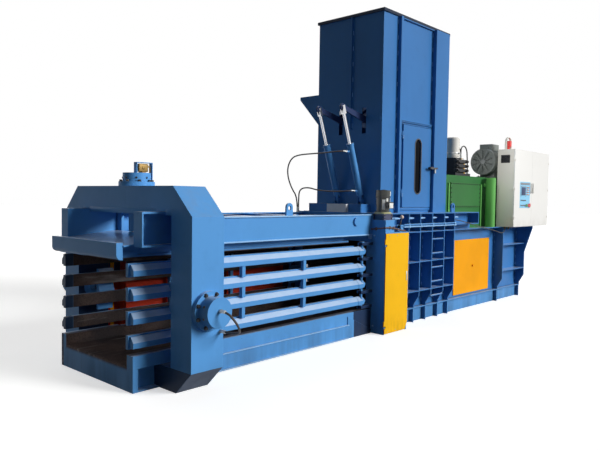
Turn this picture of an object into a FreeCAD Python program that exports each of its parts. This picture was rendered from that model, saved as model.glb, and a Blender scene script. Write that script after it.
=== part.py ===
"""Horizontal automatic baler for recycling, in millimetres.

+X runs from the bale outlet to the rear, -Y is the operator's side and +Z is up.  The origin is the middle of the
squeeze frame's underside, on the floor.  Loose material falls down the hopper, the prepress flap pushes it into the
press chamber, and the ram drives it forward between the side rails and under the tension plate, which squeeze the
bale while it is tied.
"""
import FreeCAD
import Part
import math
import os

os.makedirs("parts", exist_ok=True)

# ---- driving dimensions -------------------------------------------------------------------------------------------
FRAME_DEPTH = 406.0        # squeeze frame, along X
FRAME_WIDTH = 2574.0
FRAME_HEIGHT = 2090.0
CHANNEL_WIDTH = 1256.0     # bale channel between the wall plates
FLOOR_Z = 255.0            # top of the channel floor
CHANNEL_HEIGHT = 1087.0    # channel floor to the underside of the tension plate
TABLE_LENGTH = 314.0       # outlet table in front of the squeeze frame
CHAMBER_LENGTH = 3307.0    # squeeze frame to tie station
TIE_LENGTH = 331.0         # tie station face to hopper
HOPPER_LENGTH = 1925.0
HOPPER_HEIGHT = 3086.0
HOPPER_WIDTH = 1278.0
PUMP_BAY_LENGTH = 1931.0   # hopper to the first rear post
REAR_BAY_LENGTH = 1053.0   # first rear post to the rear end
DECK_Z = 1776.0            # deck around the hopper
REAR_DECK_Z = 1480.0       # lower deck that carries the oil tank
RIB_REACH = 870.0          # outer edge of the wall ribs, from the centre line
LEDGE_REACH = 776.0        # outer edge of the base ledge
TANK_HEIGHT = 954.0
TANK_LENGTH = 2700.0
MOTOR_COWL_D = 520.0
CABINET_LENGTH = 1695.0
CABINET_DEPTH = 354.0
CABINET_HEIGHT = 1510.0

# ---- clearances and stock thicknesses -----------------------------------------------------------------------------
RUN = 0.05                 # radial running clearance of a pin in its bore
GAP = 2.0                  # gap between pieces that slide past or swing clear of each other
SLIDE_GAP = 0.4            # guide bars to the needle carriage between them
TIP_GAP = 3.0              # squeeze rod tip to the pad that it pushes
PLATE = 20.0
THIN = 12.0
WALL = 62.0                # chamber wall: backing plate and wear liner

# ---- stations along X ---------------------------------------------------------------------------------------------
YOKE_X = FRAME_DEPTH / 2
TABLE_X = -YOKE_X - TABLE_LENGTH
TIE_X = YOKE_X + CHAMBER_LENGTH
HOPPER_X0 = TIE_X + TIE_LENGTH
HOPPER_X1 = HOPPER_X0 + HOPPER_LENGTH
STEP_X = HOPPER_X1 + 24
BEAM_END_X = HOPPER_X1 + 876
POST_X = HOPPER_X1 + PUMP_BAY_LENGTH
REAR_X = POST_X + REAR_BAY_LENGTH
GUARD_X1 = TIE_X + 604     # tie-station guard, far end

# ---- stations across Y and levels Z -------------------------------------------------------------------------------
CHANNEL_Y = CHANNEL_WIDTH / 2
WALL_Y = CHANNEL_Y + WALL
BEAM_Y = CHANNEL_Y + 116
TABLE_Y = CHANNEL_Y + 125
YOKE_OPEN_Y = 950.0
YOKE_OPEN_TOP = FRAME_HEIGHT - 240
FLOOR_LOW = FLOOR_Z - 30
LEDGE_Z = FLOOR_LOW + 15
CURB_Z = FLOOR_Z + 119
CHANNEL_TOP = FLOOR_Z + CHANNEL_HEIGHT
CEILING_Z = CHANNEL_TOP + 8
UPPER_BEAM_LOW = CHANNEL_TOP + 111
UPPER_BEAM_TOP = DECK_Z - 17

# ---- squeeze rails, tension plate and their cylinders --------------------------------------------------------------
RAIL_LEVELS = (505.0, 750.0, 990.0, 1235.0)
RAIL_GAPS = (400.0, 628.0, 870.0, 1112.0)      # needle levels: below each rail
RAIL_H = 114.0
RAIL_TUBE = 70.0
RAIL_PLATE_H = 140.0
RAIL_PLATE_T = 50.0
RAIL_IN_Y = CHANNEL_Y + 5
RAIL_MID_Y = RAIL_IN_Y + RAIL_PLATE_T
RAIL_OUT_Y = RAIL_MID_Y + RAIL_TUBE
RAIL_PIVOT_X = TIE_X - 218
RAIL_PIVOT_Y = (RAIL_MID_Y + RAIL_OUT_Y) / 2
RAIL_PIN_R = 20.0
SPACER_X = (YOKE_X + 768, YOKE_X + 1833)
SQUEEZE_Z = 850.0
PAD_T = 30.0
BARREL_R = 130.0
FLANGE_R = 200.0
FLANGE_T = 50.0
HUB_R = 155.0
HUB_L = 138.0
BORE_R = 90.0
ROD_R = 55.0
PLATE_PIVOT_X = TIE_X - 383
PLATE_PIVOT_Z = 1660.0
HINGE_PIN_R = 40.0
LIP_X = TABLE_X - 145
LIP_Y = 683.0
LIP_DEPTH = 72.0
SIDE_BEAM_Y = (690.0, 840.0)
SIDE_BEAM_Z = (CHANNEL_TOP + 128, YOKE_OPEN_TOP - 25)
SIDE_BEAM_X = (TABLE_X + 44, YOKE_X - 53)
PRESS_HALF = 555.0
BOSS_Z = CHANNEL_TOP + 233
TOP_BARREL_R = 120.0
TOP_HUB_R = 155.0
TOP_BORE_R = 80.0
TOP_ROD_R = 50.0

# ---- ram and its cylinder ---------------------------------------------------------------------------------------------
RAM_Z = 800.0
RAM_X = STEP_X
RAM_LENGTH = HOPPER_LENGTH + 30
BARREL_X = RAM_X + 240

# ---- walls, posts and ribs ----------------------------------------------------------------------------------------
RIB_X = (TIE_X + 791, TIE_X + 1128, TIE_X + 1498, TIE_X + 1889, TIE_X + 2232)
POSTS_X = (POST_X, REAR_X - PLATE)
RIB_CHAMFER = (290.0, 450.0)
BAR_LEVELS = (523.0, 990.0)
REAR_BAR_LEVELS = (600.0, 1110.0)
COVER_X = (HOPPER_X1 + 300, POST_X - 257)
COVER_Z = (FLOOR_Z + 17, REAR_DECK_Z - 215)
CROSS_X = (YOKE_X + 500, YOKE_X + 1300, YOKE_X + 2100)
CROSS_H = 134.0
RUNG_PITCH = 234.0
RUNG_LOW_Z = 401.0
RUNG_R = 14.0

# ---- tie station ----------------------------------------------------------------------------------------------------
TWIST_X = TIE_X + 130
TWIST_Y = 830.0
TWIST_R = 30.0
TIE_REACH = 975.0
TIE_TOP = 1680.0
GUARD_Z = (12.0, 1483.0)
GUARD_HINGES = (100.0, 1300.0)
NEEDLE_STROKE = 1450.0
NEEDLE_T = 30.0
LEVER_Y = TIE_REACH - 53

# ---- hopper ------------------------------------------------------------------------------------------------------------
HOPPER_TOP = DECK_Z + HOPPER_HEIGHT
HOPPER_Y = HOPPER_WIDTH / 2
DOOR_X = (HOPPER_X0 + 551, HOPPER_X0 + 1399)
DOOR_Z = (DECK_Z + 84, DECK_Z + 1394)
DOOR_HINGES = (DECK_Z + 311, DECK_Z + 1229)

# ---- prepress flap and its cylinders --------------------------------------------------------------------------------
FLAP_SIDES = (-300.0, 160.0)
FLAP_AXIS = (HOPPER_X0 + 60, 3210.0)
FLAP_ARM = 610.0
FLAP_ARM_ANGLE = 167.0
FLAP_BASE = (HOPPER_X0 - 36, 1966.0)
FLAP_LENGTH = 1400.0
FLAP_LEAN = 30.0           # pressing plate above the horizontal, with the cylinders extended
FLAP_SHAFT_R = 42.0
FLAP_PIN_R = 18.0
FLAP_SLOP = 13.0           # open clearance of the arm's eye round the rod's pin

# ---- hydraulics and cabinet ---------------------------------------------------------------------------------------
TANK_X0 = HOPPER_X1 + 60
TANK_Y = 620.0
TANK_X1 = TANK_X0 + TANK_LENGTH
TANK_TOP = REAR_DECK_Z + TANK_HEIGHT
TANK_RIBS = (TANK_X0 + 95, POST_X - 531)
MOTOR_X = HOPPER_X1 + 1802
MOTOR_Y = -460.0
MOTOR_Z = TANK_TOP + 321
CABINET_X = POST_X - 47
CABINET_Y = 1090.0
CABINET_Z = REAR_DECK_Z
CABINET_HINGES = (CABINET_Z + 160, CABINET_Z + 720, CABINET_Z + 1280)
PANEL_X = (CABINET_X + 262, CABINET_X + 742)
PANEL_Z = (CABINET_Z + 392, CABINET_Z + 888)


# ---- small helpers --------------------------------------------------------------------------------------------------
def vec(x, y, z):
    return FreeCAD.Vector(x, y, z)


def box(x0, x1, y0, y1, z0, z1):
    return Part.makeBox(x1 - x0, y1 - y0, z1 - z0, vec(x0, y0, z0))


AXES = {"x": vec(1, 0, 0), "y": vec(0, 1, 0), "z": vec(0, 0, 1)}


def rod(axis, start, radius, length):
    """A round bar from start along +axis."""
    return Part.makeCylinder(radius, length, vec(*start), AXES[axis])


def bar_between(start, end, radius):
    direction = vec(*end) - vec(*start)
    return Part.makeCylinder(radius, direction.Length, vec(*start), direction)


def prism(points, direction):
    wire = Part.makePolygon([vec(*p) for p in points] + [vec(*points[0])])
    return Part.Face(wire).extrude(vec(*direction))


def plate_x(points, x0, x1):
    """A (y, z) outline extruded from x0 to x1."""
    return prism([(x0, y, z) for y, z in points], (x1 - x0, 0, 0))


def plate_y(points, y0, y1):
    """An (x, z) outline extruded from y0 to y1."""
    return prism([(x, y0, z) for x, z in points], (0, y1 - y0, 0))


def join(shapes):
    shapes = list(shapes)
    if len(shapes) == 1:
        return shapes[0]
    return shapes[0].multiFuse(shapes[1:]).removeSplitter()


def welded(shapes):
    """Plates and bars that meet face to face, each trimmed by those before it."""
    kept = []
    for shape in shapes:
        for other in kept:
            if shape.BoundBox.intersect(other.BoundBox):
                shape = shape.cut(other)
        kept.append(shape)
    return kept


def bored(shapes, *bores):
    return [shape.cut(join(bores)) for shape in shapes]


def far(shape):
    """The same piece mirrored to the far side."""
    return shape.mirror(vec(0, 0, 0), vec(0, 1, 0))


def far_all(shapes):
    return [far(shape) for shape in shapes]


def both(shape):
    return [shape, far(shape)]


def save(name, shapes):
    if not isinstance(shapes, (list, tuple)):
        shapes = [shapes]
    solids = [solid for shape in shapes for solid in shape.Solids]
    whole = solids[0] if len(solids) == 1 else Part.makeCompound(solids)
    for solid in solids:
        if not solid.isValid() or solid.Volume <= 0:
            print("invalid solid in", name)
    whole.exportStep("parts/" + name + ".step")


def turned(shape, centre, axis, degrees):
    copy = shape.copy()
    copy.rotate(vec(*centre), AXES[axis], degrees)
    return copy


# ---- squeeze frame and outlet -------------------------------------------------------------------------------------
def squeeze_frame():
    half, top = FRAME_WIDTH / 2, FRAME_HEIGHT
    outline = [(half - 246, 0), (half, 241), (half, top - 306), (half - 315, top)]
    outline += [(-y, z) for y, z in reversed(outline)]
    frame = plate_x(outline, -YOKE_X, YOKE_X)
    opening = box(-YOKE_X, YOKE_X, -YOKE_OPEN_Y, YOKE_OPEN_Y, LEDGE_Z, YOKE_OPEN_TOP)
    frame = frame.cut(opening)
    seat = box(YOKE_X - 33, YOKE_X, -YOKE_OPEN_Y, -CHANNEL_Y + 28, UPPER_BEAM_LOW - 13, YOKE_OPEN_TOP)
    frame = join([frame] + both(seat))
    bores = both(rod("y", (0, -half, SQUEEZE_Z), BARREL_R, half - YOKE_OPEN_Y))
    bores.append(rod("z", (0, 0, YOKE_OPEN_TOP), TOP_BARREL_R, FRAME_HEIGHT - YOKE_OPEN_TOP))
    return frame.cut(join(bores))


def discharge_table():
    """Floor and curbs run through the frame; in front they stand on a boxed apron with open sides."""
    floor = box(TABLE_X, YOKE_X, -TABLE_Y, TABLE_Y, LEDGE_Z, FLOOR_Z)
    curb = box(TABLE_X, YOKE_X, -TABLE_Y, -CHANNEL_Y, FLOOR_Z, CURB_Z)
    apron = box(TABLE_X, TABLE_X + 60, -TABLE_Y, TABLE_Y, 0, LEDGE_Z)
    web = box(TABLE_X + 60, -YOKE_X, -TABLE_Y + 93, -TABLE_Y + 113, 0, LEDGE_Z)
    foot = box(TABLE_X + 60, -YOKE_X, -TABLE_Y, -TABLE_Y + 93, 0, 15)
    return welded([floor, apron] + both(curb) + both(web) + both(foot))


def side_cylinder():
    """Near side; the barrel lies in the frame's column and the flange bolts to its outer face."""
    face = -FRAME_WIDTH / 2
    inner = -YOKE_OPEN_Y - 5
    barrel = rod("y", (0, face, SQUEEZE_Z), BARREL_R, inner - face)
    flange = rod("y", (0, face - FLANGE_T, SQUEEZE_Z), FLANGE_R, FLANGE_T)
    hub = rod("y", (0, face - FLANGE_T - HUB_L, SQUEEZE_Z), HUB_R, HUB_L)
    cavity = rod("y", (0, face - FLANGE_T - HUB_L + 35, SQUEEZE_Z), BORE_R, inner - face + FLANGE_T + HUB_L - 65)
    gland = rod("y", (0, inner - 40, SQUEEZE_Z), ROD_R + RUN, 45)
    return join([barrel, flange, hub]).cut(cavity).cut(gland)


def side_rod():
    tip = -RAIL_OUT_Y - PAD_T - TIP_GAP
    back = -FRAME_WIDTH / 2 - FLANGE_T - HUB_L + 40
    piston = rod("y", (0, back, SQUEEZE_Z), BORE_R - 0.1, 60)
    return join([piston, rod("y", (0, back, SQUEEZE_Z), ROD_R, tip - back)])


def top_cylinder():
    top = FRAME_HEIGHT
    barrel = rod("z", (0, 0, SIDE_BEAM_Z[1] + 5), TOP_BARREL_R, top - SIDE_BEAM_Z[1] - 5)
    flange = rod("z", (0, 0, top), FLANGE_R, FLANGE_T)
    hub = rod("z", (0, 0, top + FLANGE_T), TOP_HUB_R, 100)
    cavity = rod("z", (0, 0, SIDE_BEAM_Z[1] + 40), TOP_BORE_R, top - SIDE_BEAM_Z[1] + 70)
    gland = rod("z", (0, 0, SIDE_BEAM_Z[1]), TOP_ROD_R + RUN, 45)
    return join([barrel, flange, hub]).cut(cavity).cut(gland)


def top_rod():
    tip = BOSS_Z + TIP_GAP
    back = FRAME_HEIGHT + 100
    piston = rod("z", (0, 0, back - 60), TOP_BORE_R - 0.1, 60)
    return join([piston, rod("z", (0, 0, tip), TOP_ROD_R, back - tip)])


def cylinder_guard():
    """Bent strap that stands on the hub and the flange and shields the top cylinder's port."""
    low, high = FRAME_HEIGHT + FLANGE_T, FRAME_HEIGHT + 273
    inner = box(-20, -12, -30, 30, low + 100, high)
    outer = box(182, 190, -30, 30, low, high)
    return join([inner, outer, box(-20, 190, -30, 30, high - 8, high)])


def cylinder_bolts():
    head_r, head_h, pcd_r, count = 17.0, 20.0, 176.0, 8
    bolts = []
    for n in range(count):
        angle = 2 * math.pi * (n + 0.5) / count
        a, b = pcd_r * math.cos(angle), pcd_r * math.sin(angle)
        side = rod("y", (a, -FRAME_WIDTH / 2 - FLANGE_T - head_h, SQUEEZE_Z + b), head_r, head_h)
        bolts += both(side)
        bolts.append(rod("z", (a, b, FRAME_HEIGHT + FLANGE_T), head_r, head_h))
    return bolts


# ---- rails and tension plate ---------------------------------------------------------------------------------------
def side_rails():
    """Near side: four rails tied by upright spacers, with a pad where the cylinder pushes."""
    pieces = []
    for z in RAIL_LEVELS:
        low, high = z - RAIL_H / 2, z + RAIL_H / 2
        pieces.append(box(TABLE_X - 47, RAIL_PIVOT_X - 142, -RAIL_MID_Y, -RAIL_IN_Y,
                          z - RAIL_PLATE_H / 2, z + RAIL_PLATE_H / 2))
        tube = box(TABLE_X + 5, RAIL_PIVOT_X, -RAIL_OUT_Y, -RAIL_MID_Y, low, high)
        pieces.append(join([tube, rod("y", (RAIL_PIVOT_X, -RAIL_OUT_Y, z), RAIL_H / 2, RAIL_TUBE)]))
        pieces.append(box(RAIL_PIVOT_X - 100, RAIL_PIVOT_X - 50, -RAIL_OUT_Y - 4, -RAIL_MID_Y, low - 4, high + 4))
    for z0, z1 in zip(RAIL_LEVELS, RAIL_LEVELS[1:]):
        for x in SPACER_X:
            pieces.append(box(x - 25, x + 25, -RAIL_OUT_Y + 10, -RAIL_MID_Y - 10, z0 + RAIL_H / 2, z1 - RAIL_H / 2))
    pieces.append(box(-60, 140, -RAIL_OUT_Y - PAD_T, -RAIL_OUT_Y, SQUEEZE_Z - 260, SQUEEZE_Z + 236))
    bore = rod("z", (RAIL_PIVOT_X, -RAIL_PIVOT_Y, 0), RAIL_PIN_R + RUN, DECK_Z)
    return bored(welded(pieces), bore)


def rail_lug_levels():
    mids = [(a + b) / 2 for a, b in zip(RAIL_LEVELS, RAIL_LEVELS[1:])]
    return [RAIL_LEVELS[0] - 95] + mids + [RAIL_LEVELS[-1] + 95]


def rail_pin():
    low, high = rail_lug_levels()[0] - 20, rail_lug_levels()[-1] + 20
    pin = rod("z", (RAIL_PIVOT_X, -RAIL_PIVOT_Y, low), RAIL_PIN_R, high - low)
    head = rod("z", (RAIL_PIVOT_X, -RAIL_PIVOT_Y, high), RAIL_PIN_R + 12, 14)
    return [pin, head]


def tension_plate():
    back = PLATE_PIVOT_X
    low = CHANNEL_TOP
    floor = box(LIP_X + LIP_DEPTH / 2, back + 60, -PRESS_HALF, PRESS_HALF, low, low + 30)
    lip = box(LIP_X, LIP_X + LIP_DEPTH, -LIP_Y, LIP_Y, low, low + 174)
    corner = [e for e in lip.Edges if abs(e.CenterOfMass.x - LIP_X) < 1 and abs(e.CenterOfMass.z - low) < 1]
    lip = lip.makeFillet(LIP_DEPTH * 0.8, corner)
    slope = [(LIP_X + LIP_DEPTH, low + 130), (SIDE_BEAM_X[1], low + 200), (SIDE_BEAM_X[1], low + 216),
             (LIP_X + LIP_DEPTH, low + 146)]
    trough = plate_y(slope, -SIDE_BEAM_Y[0] - 5, SIDE_BEAM_Y[0] + 5)
    pieces = [floor, lip, trough]
    rib = [(LIP_X + LIP_DEPTH, low + 30), (back - 500, low + 30), (back - 500, low + 110), (SIDE_BEAM_X[1] + 60, low + 110),
           (SIDE_BEAM_X[1], low + 205), (LIP_X + LIP_DEPTH, low + 135)]
    for y in (-520.0, -180.0, 180.0, 520.0):
        pieces.append(plate_y(rib, y - 10, y + 10))
    y0, y1 = SIDE_BEAM_Y
    z0, z1 = SIDE_BEAM_Z
    x0, x1 = SIDE_BEAM_X
    pieces += both(box(x0, x1, -y1, -y0, z1 - PLATE, z1))
    pieces += both(box(x0, x1, -y1, -y0, z0, z0 + PLATE))
    pieces += both(box(x0, x1, -y0 - PLATE, -y0, z0, z1))
    pieces += both(box(x0, x0 + 18, -y1, -y0, z0, z1))
    pieces += both(box(x1 - 18, x1, -y1, -y0, z0, z1))
    pieces.append(rod("z", (0, 0, low + 120), 90, BOSS_Z - low - 120))
    arm = [(back - 620, low + 30), (back + 50, low + 30), (back + 60, PLATE_PIVOT_Z), (back - 60, PLATE_PIVOT_Z)]
    for y in (-450.0, 450.0):
        pieces.append(plate_y(arm, y - 20, y + 20))
        pieces.append(rod("y", (back, y - 30, PLATE_PIVOT_Z), 70, 60))
    bore = rod("y", (back, -BEAM_Y, PLATE_PIVOT_Z), HINGE_PIN_R + RUN, 2 * BEAM_Y)
    return bored(welded(pieces), bore)


def tension_hinge_pin():
    face = -BEAM_Y + 14
    pin = rod("y", (PLATE_PIVOT_X, face, PLATE_PIVOT_Z), HINGE_PIN_R, -2 * face)
    cap = rod("y", (PLATE_PIVOT_X, face - 26, PLATE_PIVOT_Z), 62, 26)
    return [pin] + both(cap)


def upper_beam():
    """Near side channel section, open outwards, with its pin hole."""
    y0 = -BEAM_Y
    web = box(YOKE_X, TIE_X, y0 + 14, y0 + 29, UPPER_BEAM_LOW, UPPER_BEAM_TOP)
    top = box(YOKE_X, TIE_X, y0, y0 + 144, UPPER_BEAM_TOP - 15, UPPER_BEAM_TOP)
    low = box(YOKE_X, TIE_X, y0, y0 + 144, UPPER_BEAM_LOW, UPPER_BEAM_LOW + 17)
    hole = rod("y", (PLATE_PIVOT_X, y0, PLATE_PIVOT_Z), HINGE_PIN_R, 60)
    return bored(welded([top, low, web]), hole)


def lifting_lug(x, y, z):
    """Upright lug with an eye, standing on z."""
    plate = box(x - 60, x + 60, y - 12, y + 12, z, z + 100)
    crown = rod("y", (x, y - 12, z + 100), 60, 24)
    eye = rod("y", (x, y - 12, z + 95), 28, 24)
    return join([plate, crown]).cut(eye)


def cross_members():
    """Square beams between the upper beams."""
    y, top = BEAM_Y - 29, UPPER_BEAM_TOP - 15
    return [box(x - 60, x + 60, -y, y, top - CROSS_H, top) for x in CROSS_X]


# ---- base and press body ---------------------------------------------------------------------------------------------
def base_frame():
    floor = box(YOKE_X, REAR_X - 60, -CHANNEL_Y, CHANNEL_Y, FLOOR_LOW, FLOOR_Z)
    pieces = [floor]
    pieces += both(box(YOKE_X, TIE_X, -BEAM_Y, -CHANNEL_Y, 0, CURB_Z - 11))
    pieces += both(box(YOKE_X, TIE_X - 560, -BEAM_Y - 15, -BEAM_Y, 0, 200))
    pieces += both(box(TIE_X, REAR_X, -WALL_Y - 15, -WALL_Y + 90, 0, FLOOR_LOW))
    pieces += both(box(GUARD_X1, REAR_X, -LEDGE_REACH, -CHANNEL_Y, FLOOR_LOW, LEDGE_Z))
    for x in RIB_X[1:] + POSTS_X:
        pieces += both(box(x - 10, x + 10, -LEDGE_REACH + 4, -WALL_Y - 15, 0, FLOOR_LOW))
    inner = WALL_Y - 90
    count = 9
    for n in range(count):
        x = YOKE_X + 700 + n * (REAR_X - YOKE_X - 1000) / (count - 1)
        pieces.append(box(x - 60, x + 60, -inner, inner, 0, FLOOR_LOW))
    gusset = [(TIE_X - 560, CURB_Z - 60), (TIE_X - 10, 60), (TIE_X - 10, 0), (TIE_X - 560, 0)]
    pieces += both(plate_y(gusset, -BEAM_Y - 12, -BEAM_Y))
    return welded(pieces)


def rib_outline():
    """(y, z) outline of a near-side rib from the ledge up."""
    return [(-WALL_Y, LEDGE_Z), (-LEDGE_REACH, LEDGE_Z), (-LEDGE_REACH, RIB_CHAMFER[0]), (-RIB_REACH, RIB_CHAMFER[1])]


def press_wall():
    """Near side wall of the press chamber with its ribs, bars, flanges and the two rear posts."""
    outline = [(TIE_X + PLATE, LEDGE_Z), (REAR_X, LEDGE_Z), (REAR_X, REAR_DECK_Z), (BEAM_END_X, REAR_DECK_Z),
               (BEAM_END_X, DECK_Z), (TIE_X + PLATE, DECK_Z)]
    pieces = [plate_y(outline, -WALL_Y, -CHANNEL_Y)]
    for x in RIB_X:
        shape = rib_outline() + [(-RIB_REACH, DECK_Z), (-WALL_Y, DECK_Z)]
        pieces.append(plate_x(shape, x - 10, x + 10))
    for x in POSTS_X:
        shape = rib_outline() + [(-RIB_REACH, REAR_DECK_Z), (-WALL_Y, REAR_DECK_Z)]
        pieces.append(plate_x(shape, x, x + PLATE))
    start = HOPPER_X0 - 70
    pieces.append(box(start, BEAM_END_X, -RIB_REACH, -WALL_Y, DECK_Z - 18, DECK_Z))
    pieces.append(box(start, BEAM_END_X, -RIB_REACH, -WALL_Y, 1560, 1578))
    pieces.append(box(BEAM_END_X - 18, BEAM_END_X, -RIB_REACH, -WALL_Y, 1560, DECK_Z))
    pieces.append(box(GUARD_X1 + 6, RIB_X[-1], -RIB_REACH, -WALL_Y, REAR_DECK_Z - 16, REAR_DECK_Z))
    pieces.append(box(RIB_X[-1], REAR_X, -WALL_Y - 172, -WALL_Y, REAR_DECK_Z - 16, REAR_DECK_Z))
    for z in BAR_LEVELS:
        pieces.append(box(GUARD_X1 + 6, RIB_X[-1], -RIB_REACH, -WALL_Y, z - 8, z + 8))
    for z in REAR_BAR_LEVELS:
        pieces.append(box(POST_X + PLATE, REAR_X - PLATE, -RIB_REACH, -WALL_Y, z - 8, z + 8))
    slots = [box(TWIST_X - 40, TWIST_X + 40, -WALL_Y, -CHANNEL_Y, z - 28, z + 28) for z in RAIL_GAPS]
    wall = join(pieces)
    for slot in slots:
        wall = wall.cut(slot)
    return wall


def press_deck():
    """Strips of deck round the hopper mouth, the shear ceiling in front of it, and the lower rear deck."""
    y, mouth_y = CHANNEL_Y, CHANNEL_Y - 10
    mouth_x0, mouth_x1 = HOPPER_X0 + THIN, HOPPER_X1 - THIN
    low = DECK_Z - 30
    front = box(HOPPER_X0 - 20, mouth_x0, -y, y, CEILING_Z, DECK_Z)
    step = box(mouth_x1, STEP_X, -y, y, REAR_DECK_Z - 30, DECK_Z)
    ceiling = box(TIE_X + PLATE, HOPPER_X0 - 20, -y, y, CEILING_Z, CEILING_Z + 30)
    deck = box(TIE_X + PLATE, HOPPER_X0 - 20, -y, y, low, DECK_Z)
    strips = both(box(mouth_x0, mouth_x1, -y, -mouth_y, low, DECK_Z))
    rear = box(STEP_X, REAR_X - 60, -y, y, REAR_DECK_Z - 30, REAR_DECK_Z)
    return [front, step, ceiling, deck, rear] + strips


def rear_bulkhead():
    y = CHANNEL_Y
    plate = box(REAR_X - 60, REAR_X, -y, y, LEDGE_Z, REAR_DECK_Z)
    ring = rod("x", (REAR_X - 60, 0, RAM_Z), 170, 60)
    return plate.cut(ring)


def main_cylinder():
    barrel = rod("x", (BARREL_X, 0, RAM_Z), 170, REAR_X - BARREL_X)
    flange = rod("x", (REAR_X, 0, RAM_Z), 240, 50)
    cavity = rod("x", (BARREL_X + 90, 0, RAM_Z), 130, REAR_X - BARREL_X - 130)
    gland = rod("x", (BARREL_X, 0, RAM_Z), 90 + RUN, 90)
    return join([barrel, flange]).cut(cavity).cut(gland)


def ram_rod():
    start = RAM_X + 80
    end = REAR_X - 60
    shaft = rod("x", (start, 0, RAM_Z), 90, end - start)
    piston = rod("x", (end - 120, 0, RAM_Z), 129.9, 120)
    return join([shaft, piston])


def main_ram():
    """Hollow ram: thick face plate with side, top and bottom plates, open at the back."""
    y, low, high = CHANNEL_Y - 10, FLOOR_Z + 7, CHANNEL_TOP - 12
    x0, x1 = RAM_X, RAM_X + RAM_LENGTH
    shell = box(x0, x1, -y, y, low, high)
    return shell.cut(box(x0 + 80, x1, -y + 40, y - 40, low + 40, high - 40))


def ladder_rungs():
    x0, x1 = RIB_X[2] + 10, RIB_X[3] - 10
    return [rod("x", (x0, -RIB_REACH + 20, RUNG_LOW_Z + n * RUNG_PITCH), RUNG_R, x1 - x0) for n in range(5)]


def service_cover():
    plate = box(COVER_X[0], COVER_X[1], -WALL_Y - 12, -WALL_Y, COVER_Z[0], COVER_Z[1])
    knob = rod("y", ((COVER_X[0] + COVER_X[1]) / 2 + 20, -WALL_Y - 32, (COVER_Z[0] + COVER_Z[1]) / 2), 22, 20)
    return [plate, knob]


# ---- hopper -----------------------------------------------------------------------------------------------------------
def hopper_shaft():
    """Straight shaft with a lip, outer ribs, the doorway, arm slots and bearing rings for the flap's shaft."""
    x0, x1, y, z0, z1 = HOPPER_X0, HOPPER_X1, HOPPER_Y, DECK_Z, HOPPER_TOP
    shaft = box(x0, x1, -y, y, z0, z1).cut(box(x0 + THIN, x1 - THIN, -y + THIN, y - THIN, z0, z1))
    lip = box(x0 - 24, x1 + 24, -y - 24, y + 24, z1 - 44, z1)
    lip = lip.cut(box(x0, x1, -y, y, z1 - 44, z1))
    pieces = [shaft, lip]
    pieces.append(box(x0 + 389, x0 + 445, -y - 62, -y, z0, z1 - 44))
    band = box(DOOR_X[1] + 25, x1 - 76, -y - 75, -y, z0, z1 - 44)
    band = band.cut(box(DOOR_X[1] + 37, x1 - 88, -y - 63, -y, z0 + 12, z1 - 56))
    pieces.append(band)
    pieces.append(box(x0 - 42, x0, -66, -41, z0 + 1300, z1 - 44))
    for z in (z0 + 1450, z1 - 60):
        pieces.append(box(x0 + 445, DOOR_X[1] + 25, -y - 30, -y, z, z + 16))
    for side in (-1, 1):
        pieces.append(rod("y", (FLAP_AXIS[0], side * (y - THIN - 15) - 15, FLAP_AXIS[1]), FLAP_SHAFT_R + 28, 30))
    pieces += hopper_door_hinges()
    pieces.append(hopper_plinth())
    pieces.append(hopper_chute())
    shaft = join(pieces)
    doorway = join([box(DOOR_X[0] + 30, DOOR_X[1] - 30, -y, -y + THIN, DOOR_Z[0] + 30, DOOR_Z[1] - 30),
                    box(x0 + 160, x1 - 60, y - THIN, y, 3260, 3680)])
    bore = rod("y", (FLAP_AXIS[0], -y + THIN, FLAP_AXIS[1]), FLAP_SHAFT_R + RUN, 2 * (y - THIN))
    shaft = shaft.cut(doorway).cut(bore)
    for centre in FLAP_SIDES:
        shaft = shaft.cut(box(x0, x0 + THIN, centre - 40, centre + 40, 3000, 3400))
    return shaft


def hopper_chute():
    """Wing of the feed chute on the far side: a sloping pan between triangular cheeks."""
    y, reach, low, high = HOPPER_Y, 430, 3180, 3690
    x0, x1 = HOPPER_X0 + 20, HOPPER_X1 - 48
    cheek = [(y, low), (y + reach, high - 50), (y + reach, high), (y, high)]
    pan = plate_x([(y, low), (y + reach, high - 50), (y + reach, high - 36), (y, low + 14)], x0, x1)
    return join([pan, plate_x(cheek, x0, x0 + THIN), plate_x(cheek, x1 - THIN, x1)])


def hopper_plinth():
    """Boxed step in front of the shaft with the clevises and pins of the two lift cylinders."""
    z0, z1 = DECK_Z, DECK_Z + 128
    outer = box(HOPPER_X0 - 240, HOPPER_X0, -450, 600, z0, z1)
    plinth = outer.cut(box(HOPPER_X0 - 228, HOPPER_X0 - 12, -438, 588, z0, z1 - 12))
    pieces = [plinth]
    x, z = FLAP_BASE
    for y in FLAP_SIDES:
        pieces += [box(x - 50, x + 30, y + s * 34 - 7, y + s * 34 + 7, z1, z + 40) for s in (-1, 1)]
        pieces.append(rod("y", (x, y - 50, z), FLAP_PIN_R, 100))
    return join(pieces)


def junction_box():
    x1 = HOPPER_X0 - 240
    return box(x1 - 60, x1, -210, 170, DECK_Z, DECK_Z + 125)


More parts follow.
